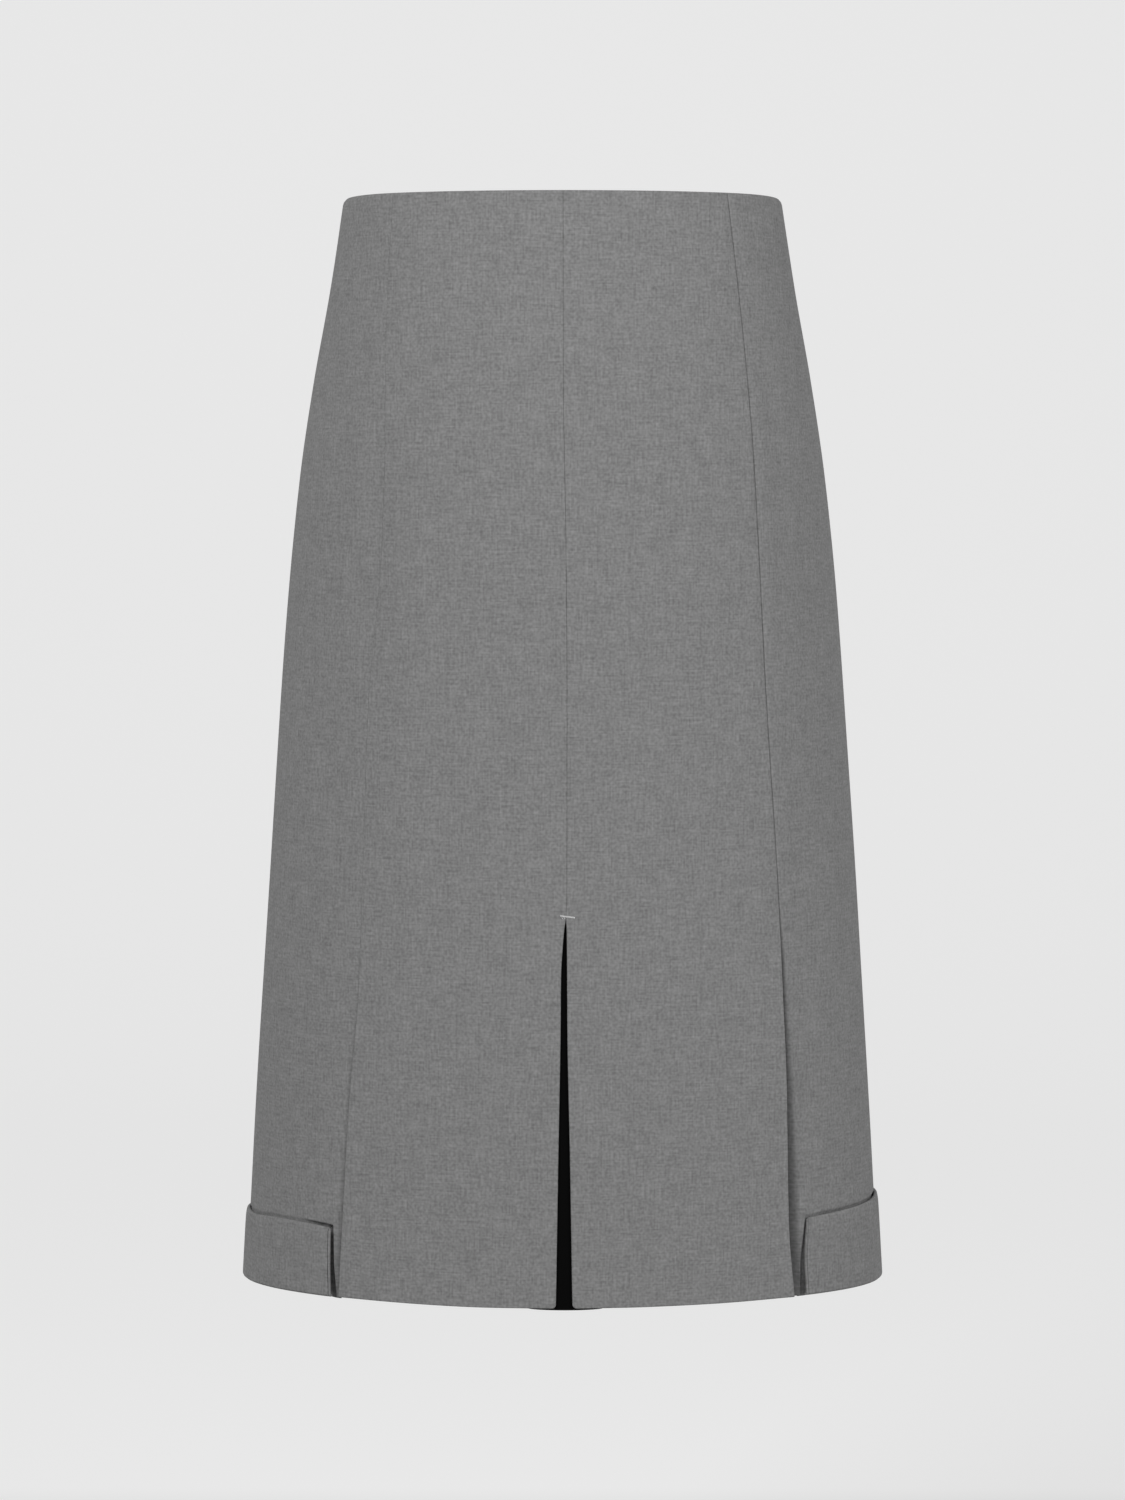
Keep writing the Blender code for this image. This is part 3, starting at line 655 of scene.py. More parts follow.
def side_panel(side):
    """The panel round one hip, from behind the front panel to the back seam."""
    hand = HANDS[side]
    drops = drops_down((WAIST_TURNING,), fine=CUFF_TOP_ROWS)
    seam = distance_of(turn_at(between(SEAMS, side, drops), drops), drops)
    back_turn = pi - turn_at(between(SEAMS, "back", drops), drops)
    back = distance_of(back_turn, drops)
    groove = between(VENTS, side + "_groove", drops)[:, None]
    sink = between(VENTS, side + "_sink", drops)[:, None]
    power = between(VENTS, side + "_power", drops)[:, None]
    cuff_end = between(CUFF_ENDS, side, drops)[:, None]
    brink = cuff_end - slot_size(side, drops)[0][:, None]
    past = np.hstack((
        -UNDERLAP * BEHIND * np.ones_like(groove),
        BESIDE * np.ones_like(groove),
        BESIDE[-1] + (brink + BRINK[0] - BESIDE[-1]) * ACROSS_VENT,
        brink + BRINK,
        (brink + cuff_end) / 2.0,
        cuff_end + UNDER_CUFF,
    ))
    across = columns_between(seam, back, past, near(ALLOWANCE * np.ones_like(drops)))
    turn = turns_of(across, drops)
    drop = np.broadcast_to(drops[:, None], across.shape)

    past_seam = across - seam[:, None]
    from_back = back[:, None] - across
    behind = smooth(-past_seam / TUCK_STEP)
    vent = opened(drop, VENT_TOP[side] - SLIT_EASE)
    valley = rolled(past_seam, TUCK_ROLLS[side]) * (1.0 - vent)
    valley = valley + PRESSED[side] * np.exp(-np.abs(past_seam) / PRESSED_BESIDE) * (1.0 - vent)
    into_vent = sink * np.clip(1.0 - past_seam / groove, 0.0, 1.0) ** power
    shown = np.maximum(valley, into_vent)
    close = 2.0 * CLOTH + PRESSED[side] + TUCK_GAP
    hidden = close + np.maximum(sink - close, 0.0) * smooth(1.0 + past_seam / UNDERLAP)
    cuff_top = LENGTH - cuff_height(side, turn)
    under_cuff = smooth((past_seam - cuff_end) / CUFF_DIP_START)
    near_dip, far_dip = CUFF_DIP[side]
    nearer = smooth((CUFF_DIP_GONE - past_seam) / (CUFF_DIP_GONE - CUFF_DIP_KEPT))
    below_top = smooth((drop - cuff_top + CUFF_DIP_REACH) / CUFF_DIP_REACH)
    dip = (far_dip + (near_dip - far_dip) * nearer) * below_top * under_cuff
    slot = slot_dip(side, past_seam, drop)
    recess = shown * (1.0 - behind) + hidden * behind + slot
    middle = cloth_lift(hand, turn, drop) - recess - dip

    raised = UNDER_CUFF_RISE * smooth((past_seam - cuff_end - UNDER_CUFF_FROM) / UNDER_CUFF_OVER)
    near_hem = smooth((drop - (LENGTH - VENT_HANG_REACH)) / VENT_HANG_REACH)
    hang = VENT_HANG * (recess + dip) * (1.0 - behind) + SLOT_HANG * slot
    placed = drop + (hang - raised) * near_hem - hem_rise(turn, drop)
    double = np.maximum(turned(from_back, ALLOWANCE), turned(drop, WAIST_TURNING) * (1.0 - behind))
    roll = np.maximum.reduce((
        rolled(from_back, SEAM_ROLLS["back"]),
        rolled(drop, FREE_ROLL) * (1.0 - behind),
        rolled(LENGTH - drop, CLOTH / 2.0),
    ))
    outer, inner = two_faces(hand, turn, placed, middle, CLOTH * (1.0 + double), roll, roll)
    piece = shell("side_" + side, outer, inner, hand * (across - CUT_FROM["side"]), -drop)
    shown_columns = across[:, len(BEHIND):]
    return piece, flat_cut(shown_columns, drops)


sides = {side: side_panel(side) for side in HANDS}
print("side hem width, left:", round(sides["left"][1][0], 4), "m")

# %% [markdown]
# ## Back panels
#
# The backs meet at centre back. Above, their folded edges hide the zip and part slightly where the
# slider's neck comes through. Below, they are sewn like the other seams.

# %% Back panels
ZIP_LENGTH = 0.180
BACK_EDGE_TOP = 0.0008
BACK_EDGE_DROP = 0.030


def back_panel(side):
    """One back, from the centre back seam to the seam with the side panel."""
    hand = HANDS[side]
    drops = drops_down((WAIST_TURNING, LENGTH - HEM_TURNING))
    parted = np.clip(1.0 - drops / BACK_EDGE_DROP, 0.0, 1.0)
    centre = distance_of(pi - turn_at(BACK_EDGE_TOP * parted, drops), drops)
    seam = distance_of(pi - turn_at(between(SEAMS, "back", drops), drops), drops)
    allowance = near(ALLOWANCE * np.ones_like(drops))
    across = columns_between(seam, centre, allowance, allowance)
    turn = turns_of(across, drops)
    drop = np.broadcast_to(drops[:, None], across.shape)

    from_centre = centre[:, None] - across
    from_seam = across - seam[:, None]
    from_hem = LENGTH - drop
    double = np.maximum.reduce((
        turned(from_centre, ALLOWANCE),
        turned(from_seam, ALLOWANCE),
        turned(drop, WAIST_TURNING),
        turned(from_hem, HEM_TURNING),
    ))
    roll = np.maximum.reduce((
        rolled(from_centre, SEAM_ROLLS["back"]),
        rolled(from_seam, SEAM_ROLLS["back"]),
        rolled(drop, FREE_ROLL),
        rolled(from_hem, FREE_ROLL),
    ))
    middle = cloth_lift(hand, turn, drop)
    placed = drop - hem_rise(turn, drop)
    outer, inner = two_faces(hand, turn, placed, middle, CLOTH * (1.0 + double), roll, roll)
    piece = shell("back_" + side, outer, inner, hand * (across - CUT_FROM["back"]), -drop)
    return piece, flat_cut(across, drops)


backs = {side: back_panel(side) for side in HANDS}
print("back hem width:", round(backs["left"][1][0], 4), "m")

# %% [markdown]
# ## Cuffs
#
# Each side panel's hem is turned up on the outside. In section the cuff is an L: a double band that
# stands off the panel, and a fold that passes under the panel's edge. The section is written once as a
# path with a direction at every point, and swept round the hip. At its front end the outer layer stops
# short of the inner one, so two layers show, and the top corner is rounded.

# %% Cuffs
CUFF_WALL = 0.0022
CUFF_LIFT = 0.00165  # middle of the band, out from the form
CUFF_HUG = 0.0009  # the top edge lies this much closer to the panel
CUFF_HUG_REACH = 0.0030
CUFF_FOLD_RADIUS = 0.00125  # of the band's middle, at the fold
FOLD_HALF = 0.0008
FOLD_REACH = -0.0006  # how far in the fold passes under the panel
LAYER_GROOVE = {"left": 0.0013, "right": 0.0007}  # depth of the line between the layers at the end
LAYER_PLACE = 0.0013  # its distance from the end
LAYER_HALF = 0.00034
CUFF_CORNER = {"left": 0.0016, "right": 0.0030}  # radius of the top corner
CUFF_ROUND = 0.46  # radius of the cuff's edges, as a share of its wall
CUFF_FOLD_TOP = 0.004  # below this height the fold keeps its shape, however tall the cuff
FOLD_ROWS = 9
TIP_ROWS = 8
CUFF_NEAR = np.array((
    0.0, 0.1, 0.22, 0.36, 0.52, 0.7, 0.88, 1.04, 1.13, 1.22,
    1.3, 1.38, 1.47, 1.56, 1.7, 2.0, 2.8, 4.2, 6.5,
)) / 1000.0
CUFF_ROWS = np.array((  # shares of the cuff's height, from its top edge down to the fold
    0.0, 0.002, 0.004, 0.007, 0.011, 0.016, 0.024, 0.04, 0.07,
    0.12, 0.2, 0.3, 0.4, 0.5, 0.6, 0.7, 0.8, 0.88,
))


def cuff_path(height):
    """Lift, height and outward direction of the band's middle, from its top edge to inside the fold."""
    straight = height - height * CUFF_ROWS
    hug = CUFF_HUG * np.exp((straight - height) / CUFF_HUG_REACH)
    path = [(CUFF_LIFT - closer, up, 1.0, 0.0) for closer, up in zip(hug, straight)]
    fold_lift_start = CUFF_LIFT - CUFF_FOLD_RADIUS
    fold_height = FOLD_HALF + CUFF_FOLD_RADIUS
    for t in np.linspace(0.0, pi / 2.0, FOLD_ROWS):
        lift = fold_lift_start + CUFF_FOLD_RADIUS * cos(t)
        path.append((lift, fold_height - CUFF_FOLD_RADIUS * sin(t), cos(t), -sin(t)))
    for lift in np.linspace(fold_lift_start, FOLD_REACH, TIP_ROWS)[1:]:
        path.append((lift, FOLD_HALF, 0.0, -1.0))
    return np.array(path)


def cuff(side):
    """The turned-up hem of one side panel."""
    hand = HANDS[side]
    path = cuff_path(CUFFS[side].front_height)
    lift, height, out, down = (path[:, k] for k in range(4))
    drops = LENGTH - height
    seam_turn = turn_at(between(SEAMS, side, drops), drops)
    start = distance_of(seam_turn, drops) + between(CUFF_ENDS, side, drops)
    share_down = np.clip(1.0 - height / CUFFS[side].front_height, 0.0, 1.0)
    back = distance_of(pi - turn_at(between(SEAMS, "back", drops), drops), drops)
    every_row = np.ones((len(drops), 1))
    across = columns_between(start, back, CUFF_NEAR * every_row, NEAR_EDGE * every_row)
    turn = turns_of(across, drops)
    from_front = across - start[:, None]
    from_back = back[:, None] - across

    up = height[:, None]
    taller = cuff_height(side, turn) / CUFFS[side].front_height
    cut_away = rolled(from_front, CUFF_CORNER[side]) * smooth(1.0 - 2.0 * share_down[:, None])
    tall = np.where(up > CUFF_FOLD_TOP, up * taller, up) - cut_away
    tall = tall + hem_rise(turn, LENGTH) * (1.0 - up / CUFFS[side].front_height)
    walked_down = np.concatenate(((0.0,), np.cumsum(np.hypot(np.diff(lift), np.diff(height)))))
    from_top = walked_down[:, None]
    from_tip = (walked_down[-1] - walked_down)[:, None]
    under = down[:, None] < -0.5  # the part that passes under the panel
    wall = np.where(under, 2.0 * FOLD_HALF, CUFF_WALL)
    edge = np.minimum(np.minimum(from_top, from_tip), np.minimum(from_front, from_back))
    half = wall / 2.0 - rolled(edge, wall * CUFF_ROUND)
    line = LAYER_GROOVE[side] * smooth(1.0 - np.abs(from_front - LAYER_PLACE) / LAYER_HALF)
    outer_half = half - line * ~under

    base = cloth_lift(hand, turn, LENGTH - tall)
    outer_lift = base + lift[:, None] + out[:, None] * outer_half
    inner_lift = base + lift[:, None] - out[:, None] * half
    outer = form(hand, turn, LENGTH - (tall + down[:, None] * outer_half), outer_lift)
    inner = form(hand, turn, LENGTH - (tall - down[:, None] * half), inner_lift)
    piece = shell("cuff_" + side, outer, inner, hand * (across - CUT_FROM["cuff"]), tall)
    widths = across[:, -1] - across[:, 0]
    width, length = float(widths.max()), float(walked_down[-1])
    return piece, (width, length, width * length)


cuffs = {side: cuff(side) for side in HANDS}
print("cuff width, left:", round(cuffs["left"][1][0], 4), "m")

# %% [markdown]
# ## Underlay
#
# The slit shows black cloth, and a sliver of it hangs below the hem. It is a flat strip that follows
# the fronts just behind them, so the fronts' own lift is reused.

# %% Underlay
UNDERLAY_TOP = 0.380
UNDERLAY_HALF = 0.034
UNDERLAY_ASIDE = 0.001  # its middle lies this far to the right
UNDERLAY_LIFT = -0.00205
UNDERLAY_WALL = 0.0006
UNDERLAY_COLUMNS = 41
UNDERLAY_DIP = 0.0013  # the sliver that hangs below the hem: its height, middle, half width and reach
UNDERLAY_DIP_MIDDLE = 0.002
UNDERLAY_DIP_HALF = 0.024
UNDERLAY_DIP_REACH = 0.02


def underlay():
    """The dark strip behind the slit."""
    count = 1 + ceil((LENGTH - UNDERLAY_TOP) / ROW_STEP)
    drops = np.linspace(UNDERLAY_TOP, LENGTH, count)
    drops = np.array(sorted({*drops, *(LENGTH - NEAR_EDGE[:8]), *(UNDERLAY_TOP + NEAR_EDGE[:6])}))
    columns = np.linspace(-UNDERLAY_HALF, UNDERLAY_HALF, UNDERLAY_COLUMNS)
    across = columns * np.ones((len(drops), 1)) + UNDERLAY_ASIDE
    drop = drops[:, None] * np.ones_like(across)
    hand = np.where(across < 0.0, -1.0, 1.0)
    turn = np.abs(turn_at(across, drop))
    lift = np.where(hand < 0.0, cloth_lift(-1.0, turn, drop), cloth_lift(1.0, turn, drop))
    lift = lift + UNDERLAY_LIFT
    from_middle = (across - UNDERLAY_DIP_MIDDLE) / UNDERLAY_DIP_HALF
    hang = np.clip(1.0 - from_middle**2, 0.0, 1.0) ** 0.5
    near_hem = smooth((drop - (LENGTH - UNDERLAY_DIP_REACH)) / UNDERLAY_DIP_REACH)
    low = drop + UNDERLAY_DIP * hang * near_hem
    outer = form(hand, turn, low, lift)
    inner = form(hand, turn, low, lift - UNDERLAY_WALL)
    piece = shell("slit_underlay", outer, inner, across, -drop)
    width, length = 2.0 * UNDERLAY_HALF, LENGTH - UNDERLAY_TOP
    return piece, (width, length, width * length)


dark_strip = underlay()
print("underlay width:", round(dark_strip[1][0], 3), "m")

# %% [markdown]
# ## Shader sums as Python sums
#
# A weave is easiest to describe as a sum of patterns. One small class wraps a shader socket, so that
# adding or multiplying two wrapped sockets adds the Math node for it. Every other node comes from one
# method, which sets the node's options first and its sockets after.


# %% Wire
class Wire:
    """An output socket of a material. Sums and products of wires add Math nodes to the material."""

    def __init__(self, tree, socket=None):
        self.tree = tree
        self.socket = socket

    def node(self, kind, settings=None, inputs=None, output=0):
        """Add a node: its settings, then a value or a wire for each named or numbered input."""
        made = self.tree.nodes.new(kind)
        for name, value in (settings or {}).items():
            setattr(made, name, value)
        for name, value in (inputs or {}).items():
            if isinstance(value, Wire):
                self.tree.links.new(value.socket, made.inputs[name])
            else:
                made.inputs[name].default_value = value
        return Wire(self.tree, made.outputs[output])

    def math(self, operation, first, second=0.0):
        return self.node("ShaderNodeMath", {"operation": operation}, {0: first, 1: second})

    def __add__(self, other):
        return self.math("ADD", self, other)

    def __sub__(self, other):
        return self.math("SUBTRACT", self, other)

    def __rsub__(self, other):
        return self.math("SUBTRACT", other, self)

    def __mul__(self, other):
        return self.math("MULTIPLY", self, other)

    def __truediv__(self, other):
        return self.math("DIVIDE", self, other)

    def __rtruediv__(self, other):
        return self.math("DIVIDE", other, self)

    def floor(self):
        return self.math("FLOOR", self)

    def clamped(self):
        return self.node("ShaderNodeClamp", {}, {"Value": self})

    def colour_between(self, dark, light):
        """The colour this far from dark to light."""
        return self.node("ShaderNodeMix", {"data_type": "RGBA"}, {0: self, 6: dark, 7: light}, output=2)

    __radd__ = __add__
    __rmul__ = __mul__


def new_material(name, constants):
    """A Principled material with constant sockets set, and a wire to start its patterns from."""
    material = bpy.data.materials.new(name)
    material.use_nodes = True
    tree = material.node_tree
    shader = tree.nodes["Principled BSDF"]
    for socket, value in constants.items():
        shader.inputs[socket].default_value = value
    return material, shader, Wire(tree)


def feed(shader, socket, wire):
    """Link a wire to one of the shader's sockets."""
    wire.tree.links.new(wire.socket, shader.inputs[socket])


def grey(value):
    """A neutral colour."""
    return (value, value, value, 1.0)


print("shader tools are ready")

# %% [markdown]
# ## Suiting
#
# Melange suiting is woven from yarns that are themselves a mix of light and dark fibres, so single
# yarns show as short light and dark dashes along both directions of the weave. Each yarn gets its own
# row of noise, stretched along the yarn, once for the warp and once for the weft. The plain weave
# itself is finer than a pixel from afar, and is a bump that shows from close by.

# %% Suiting
YARN = 0.0009  # spacing of the yarns
DASH = 0.0110  # usual length of a light or dark stretch of yarn
ROW_JUMP = 7.31  # step in the noise from one yarn to the next, so that neighbours look unlike
WARP_SHIFT = 40.0  # and between weft and warp
FLECK = 0.0018  # size of the flecks
CLOUD = 0.012  # size of the faint darker and lighter patches
DARK_YARN = grey(0.125)
LIGHT_YARN = grey(0.300)
YARN_CONTRAST = 0.33
FLECK_CONTRAST = 0.50
CLOUD_CONTRAST = 0.14
WEAVE_DEPTH = 0.00006
SHEEN = 0.04


def noise(wire, x, y, detail=0.0):
    """Flat noise at two wires, between 0 and 1."""
    place = wire.node("ShaderNodeCombineXYZ", {}, {"X": x, "Y": y})
    settings = {"noise_dimensions": "2D"}
    return wire.node("ShaderNodeTexNoise", settings, {"Vector": place, "Scale": 1.0, "Detail": detail})


def cloth_place(wire):
    """Wires for the distances across and along the cloth, in metres."""
    flat = wire.node("ShaderNodeUVMap", {"uv_map": "cloth"})
    across = wire.node("ShaderNodeSeparateXYZ", {}, {"Vector": flat}, output=0)
    along = wire.node("ShaderNodeSeparateXYZ", {}, {"Vector": flat}, output=1)
    return across, along


def dashes(wire, along_yarn, over_yarns, spacing, dash, row_shift):
    """Light and dark dashes along yarns at an even spacing."""
    row = (over_yarns / spacing).floor()
    return noise(wire, along_yarn / dash, row * ROW_JUMP + row_shift)


def weave_height(wire, across, along):
    """A plain weave: at each crossing one yarn passes over the other."""
    warp = wire.math("ABSOLUTE", wire.math("SINE", across * (pi / YARN)))
    weft = wire.math("ABSOLUTE", wire.math("SINE", along * (pi / YARN)))
    crossing = (across / YARN).floor() + (along / YARN).floor()
    over = wire.math("PINGPONG", crossing, 1.0)
    return warp * over + weft * (1.0 - over)


def suiting_material():
    """Matt mid-grey melange suiting."""
    constants = {"Sheen Weight": SHEEN, "Sheen Roughness": 0.6, "Specular IOR Level": 0.25}
    material, shader, wire = new_material("suiting", constants)
    across, along = cloth_place(wire)
    weft = dashes(wire, across, along, YARN, DASH, 0.0)
    warp = dashes(wire, along, across, YARN, DASH, WARP_SHIFT)
    fleck = noise(wire, across / FLECK, along / FLECK)
    cloud = noise(wire, across / CLOUD, along / CLOUD, detail=2.0)
    fine = (weft + warp - 1.0) * YARN_CONTRAST
    mixed = (fleck - 0.5) * FLECK_CONTRAST + (cloud - 0.5) * CLOUD_CONTRAST
    shade = (fine + mixed + 0.5).clamped()
    feed(shader, "Base Color", shade.colour_between(DARK_YARN, LIGHT_YARN))
    feed(shader, "Roughness", 0.94 - shade * 0.10)
    height = weave_height(wire, across, along)
    bump = wire.node("ShaderNodeBump", {}, {"Strength": 0.6, "Distance": WEAVE_DEPTH, "Height": height})
    feed(shader, "Normal", bump)
    return material


suiting = suiting_material()
print("suiting nodes:", len(suiting.node_tree.nodes))

# %% [markdown]
# ## Black cloth, tape, thread and enamel
#
# The smaller finishes follow the same pattern: a fine structure of the right scale, and a roughness
# that varies with it. The black cloth is so dark that only its faint twill shows. The zip's metal is
# The zip's metal is enamelled grey to match the cloth, so it is a glossy coat over a paint, with fine
# specks in the paint and smears in the gloss.


# %% Smaller finishes
TWILL = 0.0008  # spacing of the black cloth's twill lines
TAPE_RIB = 0.0006
TAPE_YARN = 0.0007
TAPE_ZIGZAG = 0.0016  # width of one band of the tape's herringbone


def underlay_material():
    """Matt black lining-weight twill."""
    material, shader, wire = new_material("underlay", {"Specular IOR Level": 0.03})
    across, along = cloth_place(wire)
    twill = wire.math("SINE", (across + along) * (2.0 * pi / TWILL)) * 0.5 + 0.5
    feed(shader, "Base Color", twill.colour_between(grey(0.0022), grey(0.0036)))
    feed(shader, "Roughness", 0.86 - twill * 0.08)
    bump = wire.node("ShaderNodeBump", {}, {"Strength": 0.4, "Distance": 0.00005, "Height": twill})
    feed(shader, "Normal", bump)
    return material


def tape_material():
    """Woven zip tape."""
    material, shader, wire = new_material("zip_tape", {"Sheen Weight": 0.1})
    across, along = cloth_place(wire)
    rib = wire.math("SINE", across * (2.0 * pi / TAPE_RIB)) * 0.5 + 0.5
    zigzag = along + wire.math("PINGPONG", across, TAPE_ZIGZAG)
    herringbone = wire.math("SINE", zigzag * (2.0 * pi / TAPE_YARN)) * 0.5
    weave = (rib * 0.5 + herringbone * 0.5 + 0.25).clamped()
    feed(shader, "Base Color", weave.colour_between(grey(0.12), grey(0.20)))
    feed(shader, "Roughness", 0.85 - weave * 0.1)
    bump = wire.node("ShaderNodeBump", {}, {"Strength": 0.5, "Distance": 0.00008, "Height": weave})
    feed(shader, "Normal", bump)
    return material


def thread_material(name, dark, light):
    """Twisted sewing thread."""
    material, shader, wire = new_material(name, {"Sheen Weight": 0.1})
    place = wire.node("ShaderNodeTexCoord", {}, {}, output=3)
    twist = wire.node("ShaderNodeTexNoise", {}, {"Vector": place, "Scale": 3500.0, "Detail": 1.0})
    feed(shader, "Base Color", twist.colour_between(dark, light))
    feed(shader, "Roughness", 0.75 - twist * 0.2)
    return material


def enamel_material():
    """Grey enamel on zinc, smooth, with a little wear."""
    constants = {"Coat Roughness": 0.12, "Metallic": 0.0}
    material, shader, wire = new_material("zip_enamel", constants)
    place = wire.node("ShaderNodeTexCoord", {}, {}, output=3)
    specks = wire.node("ShaderNodeTexNoise", {}, {"Vector": place, "Scale": 900.0, "Detail": 3.0})
    smears = wire.node("ShaderNodeTexNoise", {}, {"Vector": place, "Scale": 160.0, "Detail": 2.0})
    feed(shader, "Base Color", specks.colour_between((0.15, 0.15, 0.155, 1.0), (0.24, 0.24, 0.245, 1.0)))
    feed(shader, "Roughness", smears * 0.25 + 0.22)
    feed(shader, "Coat Weight", smears * 0.4 + 0.3)
    bump = wire.node("ShaderNodeBump", {}, {"Strength": 0.2, "Distance": 0.00004, "Height": specks})
    feed(shader, "Normal", bump)
    return material


black_cloth = underlay_material()
tape_cloth = tape_material()
tack_thread = thread_material("tack_thread", grey(0.60), grey(0.80))
coil_nylon = thread_material("coil_nylon", grey(0.15), grey(0.22))
enamel = enamel_material()
print("materials:", len(bpy.data.materials))

# %% [markdown]
# ## Dressing the cloth
#
# Each shell now gets its finish, and the imported piece it takes the place of is hidden. It also prints
# the width, length and area it was cut to, so that anyone can compare the cloth with its flat pattern.

# %% Dress the cloth
for group, prefix in ((fronts, "front_"), (sides, "side_"), (backs, "back_"), (cuffs, "cuff_")):
    for side, (piece, cut) in group.items():
        piece.data.materials.append(suiting)
        hang_cloth(piece, prefix + side, cut)
dark_strip[0].data.materials.append(black_cloth)
hang_cloth(dark_strip[0], "slit_underlay", dark_strip[1])

# %% [markdown]
# ## Bar tack
#
# A short bar of dense stitches stops the slit from tearing upwards. It is real thread: a few long
# stitches laid side by side and many short ones wound over them. A flat patch with a stripe texture
# would do from afar, but the little arches catch the light. Its two cut ends hang loose at one end.

# %% Bar tack
TACK_CENTRE = (0.0032, 0.4576)  # distance across, and drop
TACK_LENGTH = 0.0092
TACK_HEIGHT = 0.0010
TACK_SLOPE = 0.13  # it was sewn a little askew
TACK_STITCHES = 24
TACK_ROWS = (-0.6, -0.2, 0.2, 0.6)  # the long stitches, in half heights of the tack
STITCH_LEAN = 0.35  # a short stitch's slant, in stitch widths
STITCH_SINK = 0.0002  # a short stitch starts this deep in the cloth
STITCH_ARCH = 0.0007
TACK_ENDS = ((0.10, 2.6), (0.24, 1.9))  # loose ends: place along the tack, and reach below it
THREAD_RADIUS = 0.00016


def tube(paths, radius, sides=6):
    """Points and faces of round threads along smooth paths, each a list of points."""
    points, faces = [], []
    for path in paths:
        path = [Vector(place) for place in path]
        first = len(points)
        for k, place in enumerate(path):
            ahead = (path[min(k + 1, len(path) - 1)] - path[max(k - 1, 0)]).normalized()
            aside = ahead.cross(Vector((0.31, 0.52, 0.79))).normalized()
            upward = ahead.cross(aside)
            for s in range(sides):
                around = 2.0 * pi * s / sides
                points.append(place + radius * (cos(around) * aside + sin(around) * upward))
        for k in range(len(path) - 1):
            for s in range(sides):
                n = (s + 1) % sides
                low, high = first + k * sides, first + (k + 1) * sides
                faces.append((low + s, high + s, high + n, low + n))
        faces.append(tuple(first + s for s in range(sides)))
        last = first + (len(path) - 1) * sides
        faces.append(tuple(last + s for s in reversed(range(sides))))
    return points, faces


def thread_piece(name, paths, radius, material):
    """A piece made of threads, riding on the skirt."""
    points, faces = tube(paths, radius)
    mesh = bpy.data.meshes.new(name)
    mesh.from_pydata([tuple(place) for place in points], [], faces)
    mesh.materials.append(material)
    mesh.shade_smooth()
    piece = bpy.data.objects.new(name, mesh)
    bpy.context.scene.collection.objects.link(piece)
    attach(piece, "skirt")
    print(f"{name}: {len(paths)} threads, {len(faces)} faces")
    return piece


def on_front(x, drop, lift):
    """A point on the fronts' outer face."""
    hand = -1.0 if x < 0.0 else 1.0
    turn = turn_at(abs(x), drop)
    base = cloth_lift(hand, np.array(turn), np.array(drop))
    return Vector(form(hand, np.array(turn), np.array(drop), base + lift))


def tack_point(share_along, share_up, lift):
    """A point of the tack, from its own length and height."""
    along = (share_along - 0.5) * TACK_LENGTH
    up = share_up * TACK_HEIGHT / 2.0
    return on_front(TACK_CENTRE[0] + along, TACK_CENTRE[1] + along * TACK_SLOPE - up, lift)


tack_paths = []
for row in TACK_ROWS:
    tack_paths.append([tack_point(k / 8.0, row, 0.0002) for k in range(9)])
for stitch in range(TACK_STITCHES):
    share = (stitch + 0.5) / TACK_STITCHES
    lean = STITCH_LEAN / TACK_STITCHES
    arch = []
    for k in range(7):
        t = k / 6.0
        lift = -STITCH_SINK + STITCH_ARCH * sin(pi * t)
        arch.append(tack_point(share + lean * (2.0 * t - 1.0), 2.0 * t - 1.0, lift))
    tack_paths.append(arch)
for place, reach in TACK_ENDS:
    end = [(place + 0.10 * k / 6.0, -1.0 - reach * (k / 6.0) ** 0.8) for k in range(7)]
    tack_paths.append([tack_point(along, up, 0.00025) for along, up in end])
thread_piece("bar_tack", tack_paths, THREAD_RADIUS, tack_thread)

# %% [markdown]
# ## Zip
#
# A concealed zip has its nylon coil on the inside, so from outside only the slider and its pull show.
# Each half is a woven tape with a coil sewn along its edge. The coil is a real helix here, because its
# teeth show from inside the waist. The slider and pull keep their exact solids, softened with a bevel.

# %% Zip tapes and coils
TAPE_FROM = 0.0012  # the tape's inner edge, from the middle plane
TAPE_COLUMNS = np.array((0.0, 0.1, 0.3, 2.0, 4.0, 6.0, 8.0, 10.0, 11.6, 12.1, 12.3)) / 1000.0
TAPE_TOP = 0.0015
TAPE_LIFT = -0.00205
TAPE_WALL = 0.0004
COIL_RADIUS = 0.00042
COIL_THREAD = 0.00016
COIL_PITCH = 0.0012
COIL_CENTRE = 0.00075
COIL_LIFT = -0.0023
COIL_TOP = 0.016
COIL_END = 0.002  # above the tape's lower end
COIL_STEPS = 10  # points in one turn of the coil


def back_points(hand, x, drop, lift):
    """Points behind the centre back, by distance from the middle plane."""
    turn = pi - turn_at(x, drop)
    return form(hand, turn, drop, cloth_lift(hand, turn, drop) + lift)


def zip_tape(side):
    """Half of the zip's tape, inside the back panel."""
    hand = HANDS[side]
    first, last = 0.002, ZIP_LENGTH - 0.001
    drops = np.array([TAPE_TOP, first, *ladder(first, last, ROW_STEP), last, ZIP_LENGTH])
    x = TAPE_COLUMNS + TAPE_FROM
    across = x * np.ones((len(drops), 1))
    drop = drops[:, None] * np.ones_like(across)
    outer = back_points(hand, across, drop, TAPE_LIFT)
    inner = back_points(hand, across, drop, TAPE_LIFT - TAPE_WALL)
    piece = shell("zip_tape_" + side, outer, inner, across, -drop)
    piece.data.materials.append(tape_cloth)
    width, length = float(x[-1] - x[0]), float(drops[-1] - drops[0])
    hang_cloth(piece, "zip_tape_" + side, (width, length, width * length))


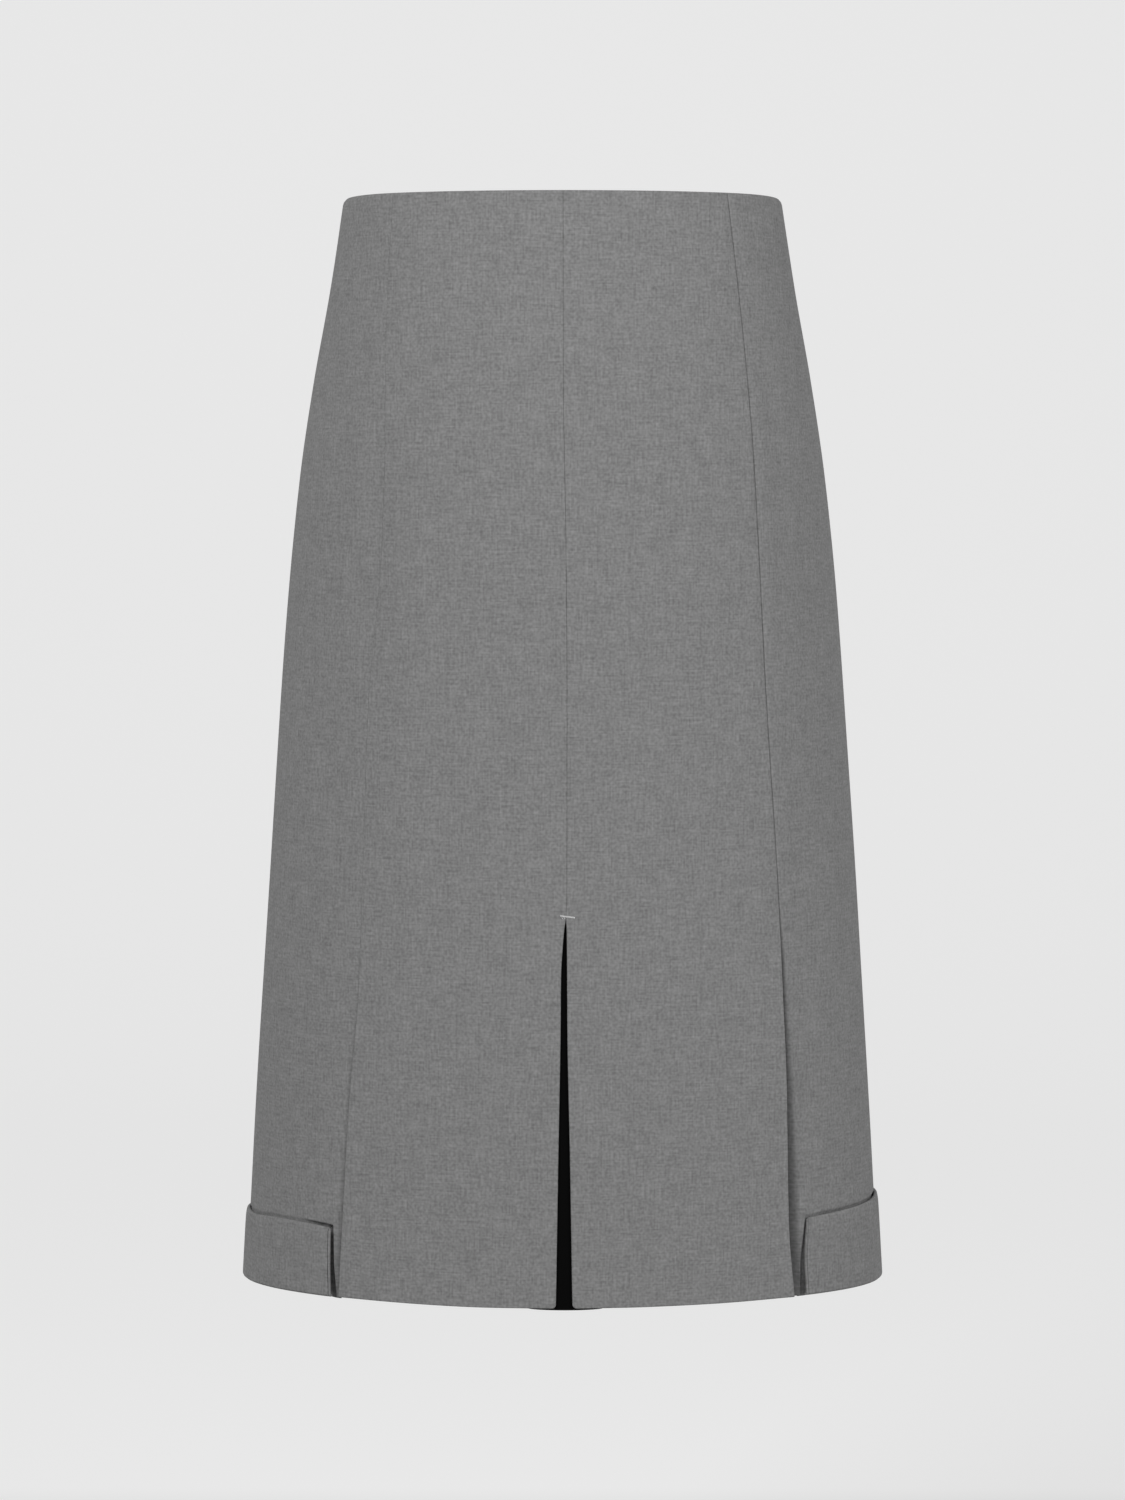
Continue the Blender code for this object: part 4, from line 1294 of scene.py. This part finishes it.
def coil(side):
    """The helix of nylon along one tape."""
    hand = HANDS[side]
    turns = (ZIP_LENGTH - COIL_TOP - COIL_END) / COIL_PITCH
    path = []
    for k in range(int(turns * COIL_STEPS) + 1):
        around = 2.0 * pi * k / COIL_STEPS
        drop = COIL_TOP + COIL_PITCH * k / COIL_STEPS
        x = COIL_CENTRE + COIL_RADIUS * cos(around)
        lift = COIL_LIFT + COIL_RADIUS * sin(around)
        path.append(back_points(hand, np.array(x), np.array(drop), lift))
    thread_piece("zip_coil_" + side, [path], COIL_THREAD, coil_nylon)


for side in HANDS:
    zip_tape(side)
for side in HANDS:
    coil(side)

# %% [markdown]
# Metal has no truly sharp edges: a thin bright line runs along each one where it catches the light. The
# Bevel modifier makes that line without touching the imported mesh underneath, and it works at every
# angle of the pull, because it moves with the piece.

# %% Slider and pull
BEVEL = 0.00018

for name in ("zip_slider", "zip_pull"):
    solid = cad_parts[name]
    bevel = solid.modifiers.new("soft edges", "BEVEL")
    bevel.width = BEVEL
    bevel.segments = 2
    bevel.limit_method = "ANGLE"
    solid.data.materials.clear()
    solid.data.materials.append(enamel)
    print(name, "keeps its solid with", BEVEL * 1000, "mm bevels")

# %% [markdown]
# ## Studio
#
# The skirt hangs at the height of a wearer's waist over a pale floor that sweeps up into the wall
# behind, so no horizon shows. Two large soft lights model the cloth: a strong one high on the left and a
# weak one low on the right, which keeps the shadow beside each pressed edge from going black. An even
# surrounding light fills the sides, and the backdrop glows faintly, as a lit paper sweep does.

# %% Studio
FLOOR_DROP = 1.02  # height of the waist above the floor
SWEEP_FRONT = -1.2
SWEEP_BACK = 4.6
SWEEP_RADIUS = 1.5
SWEEP_TOP = 1.2
SWEEP_HALF = 1.35
PAPER = grey(0.45)
PAPER_GLOW = 0.515
GLOW_FROM = 0.1  # the paper glows where it lies behind the skirt, from here
GLOW_FULL = 0.8


def sweep():
    """Floor and wall in one curved sheet."""
    curve = [pi / 2.0 * k / 16.0 for k in range(17)]
    line = [(SWEEP_FRONT, -FLOOR_DROP)]
    line += [
        (SWEEP_BACK - SWEEP_RADIUS + SWEEP_RADIUS * sin(t), -FLOOR_DROP + SWEEP_RADIUS * (1.0 - cos(t)))
        for t in curve
    ]
    line.append((SWEEP_BACK, SWEEP_TOP))
    points = [(x, y, z) for x in (-SWEEP_HALF, SWEEP_HALF) for y, z in line]
    count = len(line)
    faces = [(k, k + count, k + 1 + count, k + 1) for k in range(count - 1)]
    mesh = bpy.data.meshes.new("sweep")
    mesh.from_pydata(points, [], faces)
    mesh.shade_smooth()
    constants = {"Base Color": PAPER, "Roughness": 1.0, "Specular IOR Level": 0.0}
    material, shader, wire = new_material("paper", constants | {"Emission Strength": PAPER_GLOW})
    place = wire.node("ShaderNodeTexCoord", {}, {}, output=3)
    depth = wire.node("ShaderNodeSeparateXYZ", {}, {"Vector": place}, output=1)
    glow = ((depth - GLOW_FROM) / (GLOW_FULL - GLOW_FROM)).clamped()
    feed(shader, "Emission Color", glow.colour_between(grey(0.0), grey(1.0)))
    mesh.materials.append(material)
    thing = bpy.data.objects.new("sweep", mesh)
    bpy.context.scene.collection.objects.link(thing)
    print("sweep:", len(faces), "faces")


sweep()

Softbox = namedtuple("Softbox", "place width height power")
SOFTBOXES = {
    "left": Softbox((-1.60, -2.50, 1.30), 1.0, 1.3, 45.4),
    "right": Softbox((1.50, -1.55, 0.00), 0.9, 1.3, 14.3),
}
LIT_POINT = (0.0, 0.0, -0.10)
FILL_LIGHT = 0.484

for name, box in SOFTBOXES.items():
    light = bpy.data.lights.new("softbox_" + name, "AREA")
    light.shape = "RECTANGLE"
    light.size = box.width
    light.size_y = box.height
    light.energy = box.power
    lamp = bpy.data.objects.new("softbox_" + name, light)
    lamp.location = box.place
    lamp.rotation_euler = (Vector(LIT_POINT) - Vector(box.place)).to_track_quat("-Z", "Y").to_euler()
    bpy.context.scene.collection.objects.link(lamp)
    print("softbox", name, "at", box.place, "with", box.power, "W")

world = bpy.data.worlds.new("studio")
world.use_nodes = True
world.node_tree.nodes["Background"].inputs["Color"].default_value = (1.0, 1.0, 1.0, 1.0)
world.node_tree.nodes["Background"].inputs["Strength"].default_value = FILL_LIGHT
bpy.context.scene.world = world
bpy.context.scene.view_settings.view_transform = "Standard"
print("fill light:", FILL_LIGHT)
